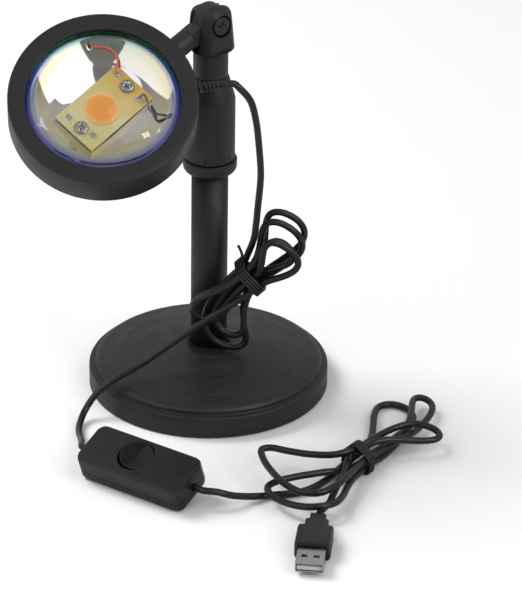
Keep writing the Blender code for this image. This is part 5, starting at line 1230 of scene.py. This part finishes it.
# %% [markdown]
# ## The switch
# The in-line switch is a glossy two-part case with a round rocker. It lies a little rolled, because
# the stiff lead holds its back up off the table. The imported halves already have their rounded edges,
# so the copy only breaks what is left sharp, and the seam between the halves stays fine.

# %% Dress the switch
switch_top = dressed_copy("switch_top", "switch_upper", switch_black, "stand", 0.00012, 40)
switch_bottom = dressed_copy("switch_bottom", "switch_lower", switch_black, "stand", 0.00012,
                             40)
round_rocker = dressed_copy("round_rocker", "switch_rocker", rocker_black, "rocker", 0.0004,
                            25)
print("switch faces:", len(switch_top.data.polygons) + len(switch_bottom.data.polygons))

# %% [markdown]
# ## The plug
# The plug is a black grip with a stepped strain relief, a folded sheet-steel shell with two latch
# holes, and a white tongue with four gold contact strips inside it.

# %% Dress the plug
plug_grip = dressed_copy("plug_grip", "plug_overmould", plug_black, "stand", 0.0003, 40)
shell_steel = new_finish("shell_steel", (0.66, 0.65, 0.63), 0.24, 1.0)
vary_roughness(shell_steel, 260, 0.16, 0.32)
add_grain(shell_steel, 900, 0.12, stretch=(1, 0.15, 1))
plug_shell = dressed_copy("plug_shell", "usb_shell", shell_steel, "stand", 0.00025, 40)
tongue_white = new_finish("tongue_white", (0.78, 0.78, 0.76), 0.42)
vary_colour(tongue_white, 400, (0.74, 0.74, 0.72), (0.82, 0.82, 0.80))
contact_gold = new_finish("contact_gold", (0.83, 0.62, 0.28), 0.22, 1.0)
vary_roughness(contact_gold, 600, 0.16, 0.30)
plug_tongue = dressed_copy("plug_tongue", "usb_tongue", tongue_white, "stand", 0.0001, 40)
plug_tongue.data.materials.append(contact_gold)
to_plug_frame = plug_frame.inverted()
tongue_top = -0.00225 + 0.0004 + part_gap + 0.0018
for polygon in plug_tongue.data.polygons:
    if (to_plug_frame @ polygon.center).z > tongue_top + 0.00003:
        polygon.material_index = 1
print("plug faces:", len(plug_grip.data.polygons) + len(plug_shell.data.polygons))

# %% [markdown]
# The upper half of the lead ends in the switch, and the lower one starts at its other end and ends in
# the plug.

# %% [markdown]
# ## The parts inside
# The ballast, washers, bush, screws, nuts and the heat sink stay as packed. They hardly show, but
# each still gets the finish of its real material: grey steel, cast aluminium, milky nylon, brass and
# black foam.

# %% Finish the inner parts
plain_steel = new_finish("plain_steel", (0.46, 0.46, 0.47), 0.36, 1.0)
vary_roughness(plain_steel, 300, 0.28, 0.44)
cast_aluminium = new_finish("cast_aluminium", (0.62, 0.62, 0.63), 0.40, 1.0)
vary_roughness(cast_aluminium, 400, 0.32, 0.50)
add_grain(cast_aluminium, 1500, 0.3)
milky_nylon = new_finish("milky_nylon", (0.70, 0.69, 0.65), 0.50)
vary_colour(milky_nylon, 300, (0.66, 0.65, 0.60), (0.73, 0.72, 0.69))
strip_brass = new_finish("strip_brass", (0.72, 0.52, 0.22), 0.30, 1.0)
vary_roughness(strip_brass, 500, 0.22, 0.38)
pad_foam = new_finish("pad_foam", (0.020, 0.020, 0.020), 0.90)
vary_colour(pad_foam, 900, (0.012, 0.012, 0.012), (0.030, 0.030, 0.030))
add_grain(pad_foam, 1400, 0.6, 0.0002)

finish_nodes = (
    (pad_foam, "base_pad"), (milky_nylon, "foot_plug sleeve_bush"), (cast_aluminium, "heat_sink"),
    (plain_steel, "base_weight base_washer base_screw swivel_core swivel_washer swivel_screw knuckle_nut"),
    (plain_steel, "hinge_washer arm_nut arm_washer rocker_pin"),
    (screw_black, "back_screw_1 back_screw_2 back_screw_3"),
    (strip_brass, "switch_contact_1 switch_contact_2"), (screw_steel, "switch_screw_1 switch_screw_2"))
inner_finishes = {node: finish for finish, nodes in finish_nodes for node in nodes.split()}
for node, finish in inner_finishes.items():
    packed = frame["nodes"][node]
    packed.data.materials.clear()
    packed.data.materials.append(finish)
shown = sorted(name for name, packed in frame["nodes"].items() if not packed.hide_render)
print("packed nodes still shown:", len(shown), "all finished:", set(shown) == set(inner_finishes))

# %% [markdown]
# ## The floor
# The photograph was taken on a white table that runs into a white background. The floor is a large
# pale sheet. Only for the camera is it almost white; the light that it sends back to the lamp stays
# modest, so the black parts keep their depth and the soft shadows stay on it.

# %% Lay the floor
floor_work = bmesh.new()
bmesh.ops.create_grid(floor_work, x_segments=1, y_segments=1, size=4)
bmesh.ops.translate(floor_work, vec=(0, 0, -0.0002), verts=floor_work.verts)
floor = mesh_object("white_table", floor_work)
floor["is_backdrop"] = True
table_white = new_finish("table_white", (0.9, 0.9, 0.9), 0.7)
shader_of(table_white).inputs["Specular IOR Level"].default_value = 0.1
tree = table_white.node_tree
path = tree.nodes.new("ShaderNodeLightPath")
tone = tree.nodes.new("ShaderNodeMix")
tone.data_type = "RGBA"
tone.inputs["A"].default_value = (0.55, 0.55, 0.56, 1)
tone.inputs["B"].default_value = (0.985, 0.985, 0.99, 1)
tree.links.new(path.outputs["Is Camera Ray"], tone.inputs["Factor"])
feed(table_white, "Base Color", tone.outputs["Result"])
floor.data.materials.append(table_white)

# %% [markdown]
# ## Light
# The strongest soft box stands behind to the left, so the soft shadows fall to the right and to the
# front. It is hidden from mirrors, since the photograph's lens doesn't show it. Two weaker ones stand
# beside the camera, and the dish mirrors them as its two white wedges, with a dark one in the gap
# between them. A small lamp to the right makes the one bright spot on the lens. The world fills in,
# dimmer from the camera's side, and is plain white only where the camera sees it.

# %% Hang the soft boxes
def soft_box(name, place, aim, width, height, power):
    data = bpy.data.lights.new(name, "AREA")
    data.shape = "RECTANGLE"
    data.size = width
    data.size_y = height
    data.energy = power
    lamp = new_object(name, data)
    facing = (Vector(aim) - Vector(place)).to_track_quat("-Z", "Y")
    lamp.matrix_world = Matrix.Translation(place) @ facing.to_matrix().to_4x4()
    return lamp


key_light = soft_box("back_left_soft_box", (-1.1, 0.35, 1.5), (0, 0, 0.05), 0.9, 0.9, 23)
key_light.visible_glossy = False
key_light.visible_transmission = False
soft_box("front_right_soft_box", (1.035, -1.07, 1.45), (0, 0, 0.15), 1.6, 1.5, 11)
soft_box("small_right_lamp", (1.40, -1.22, 0.90), (0, 0, 0.15), 0.26, 0.18, 3)
soft_box("front_left_soft_box", (-1.25, -1.2, 1.45), (0, 0, 0.15), 2.2, 1.2, 8)

world = bpy.data.worlds.new("white_room")
bpy.context.scene.world = world
world.use_nodes = True
tree = world.node_tree
room = tree.nodes["Background"]
room.inputs["Color"].default_value = (1, 1, 1, 1)
path = tree.nodes.new("ShaderNodeLightPath")
directions = tree.nodes.new("ShaderNodeTexCoord")
parts = tree.nodes.new("ShaderNodeSeparateXYZ")
tree.links.new(directions.outputs["Generated"], parts.inputs["Vector"])
depth = map_range(tree, parts.outputs["Y"], -0.9, 0.1, 0.14, 0.42)
fill = map_range(tree, path.outputs["Is Camera Ray"], 0, 1)
tree.links.new(depth, fill.node.inputs["To Min"])
tree.links.new(fill, room.inputs["Strength"])
bpy.context.scene.view_settings.view_transform = "Standard"

# %% [markdown]
# ## Sizes
# The last line prints how much the dressed lamp's box has grown over the imported lamp's box.

# %% Write the sizes
seen_box = [list(corner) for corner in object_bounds()]
grown = [round(1000 * (seen_box[1][i] - seen_box[0][i] - cad_box[1][i] + cad_box[0][i]), 2)
         for i in range(3)]
print("grown by", grown, "mm")
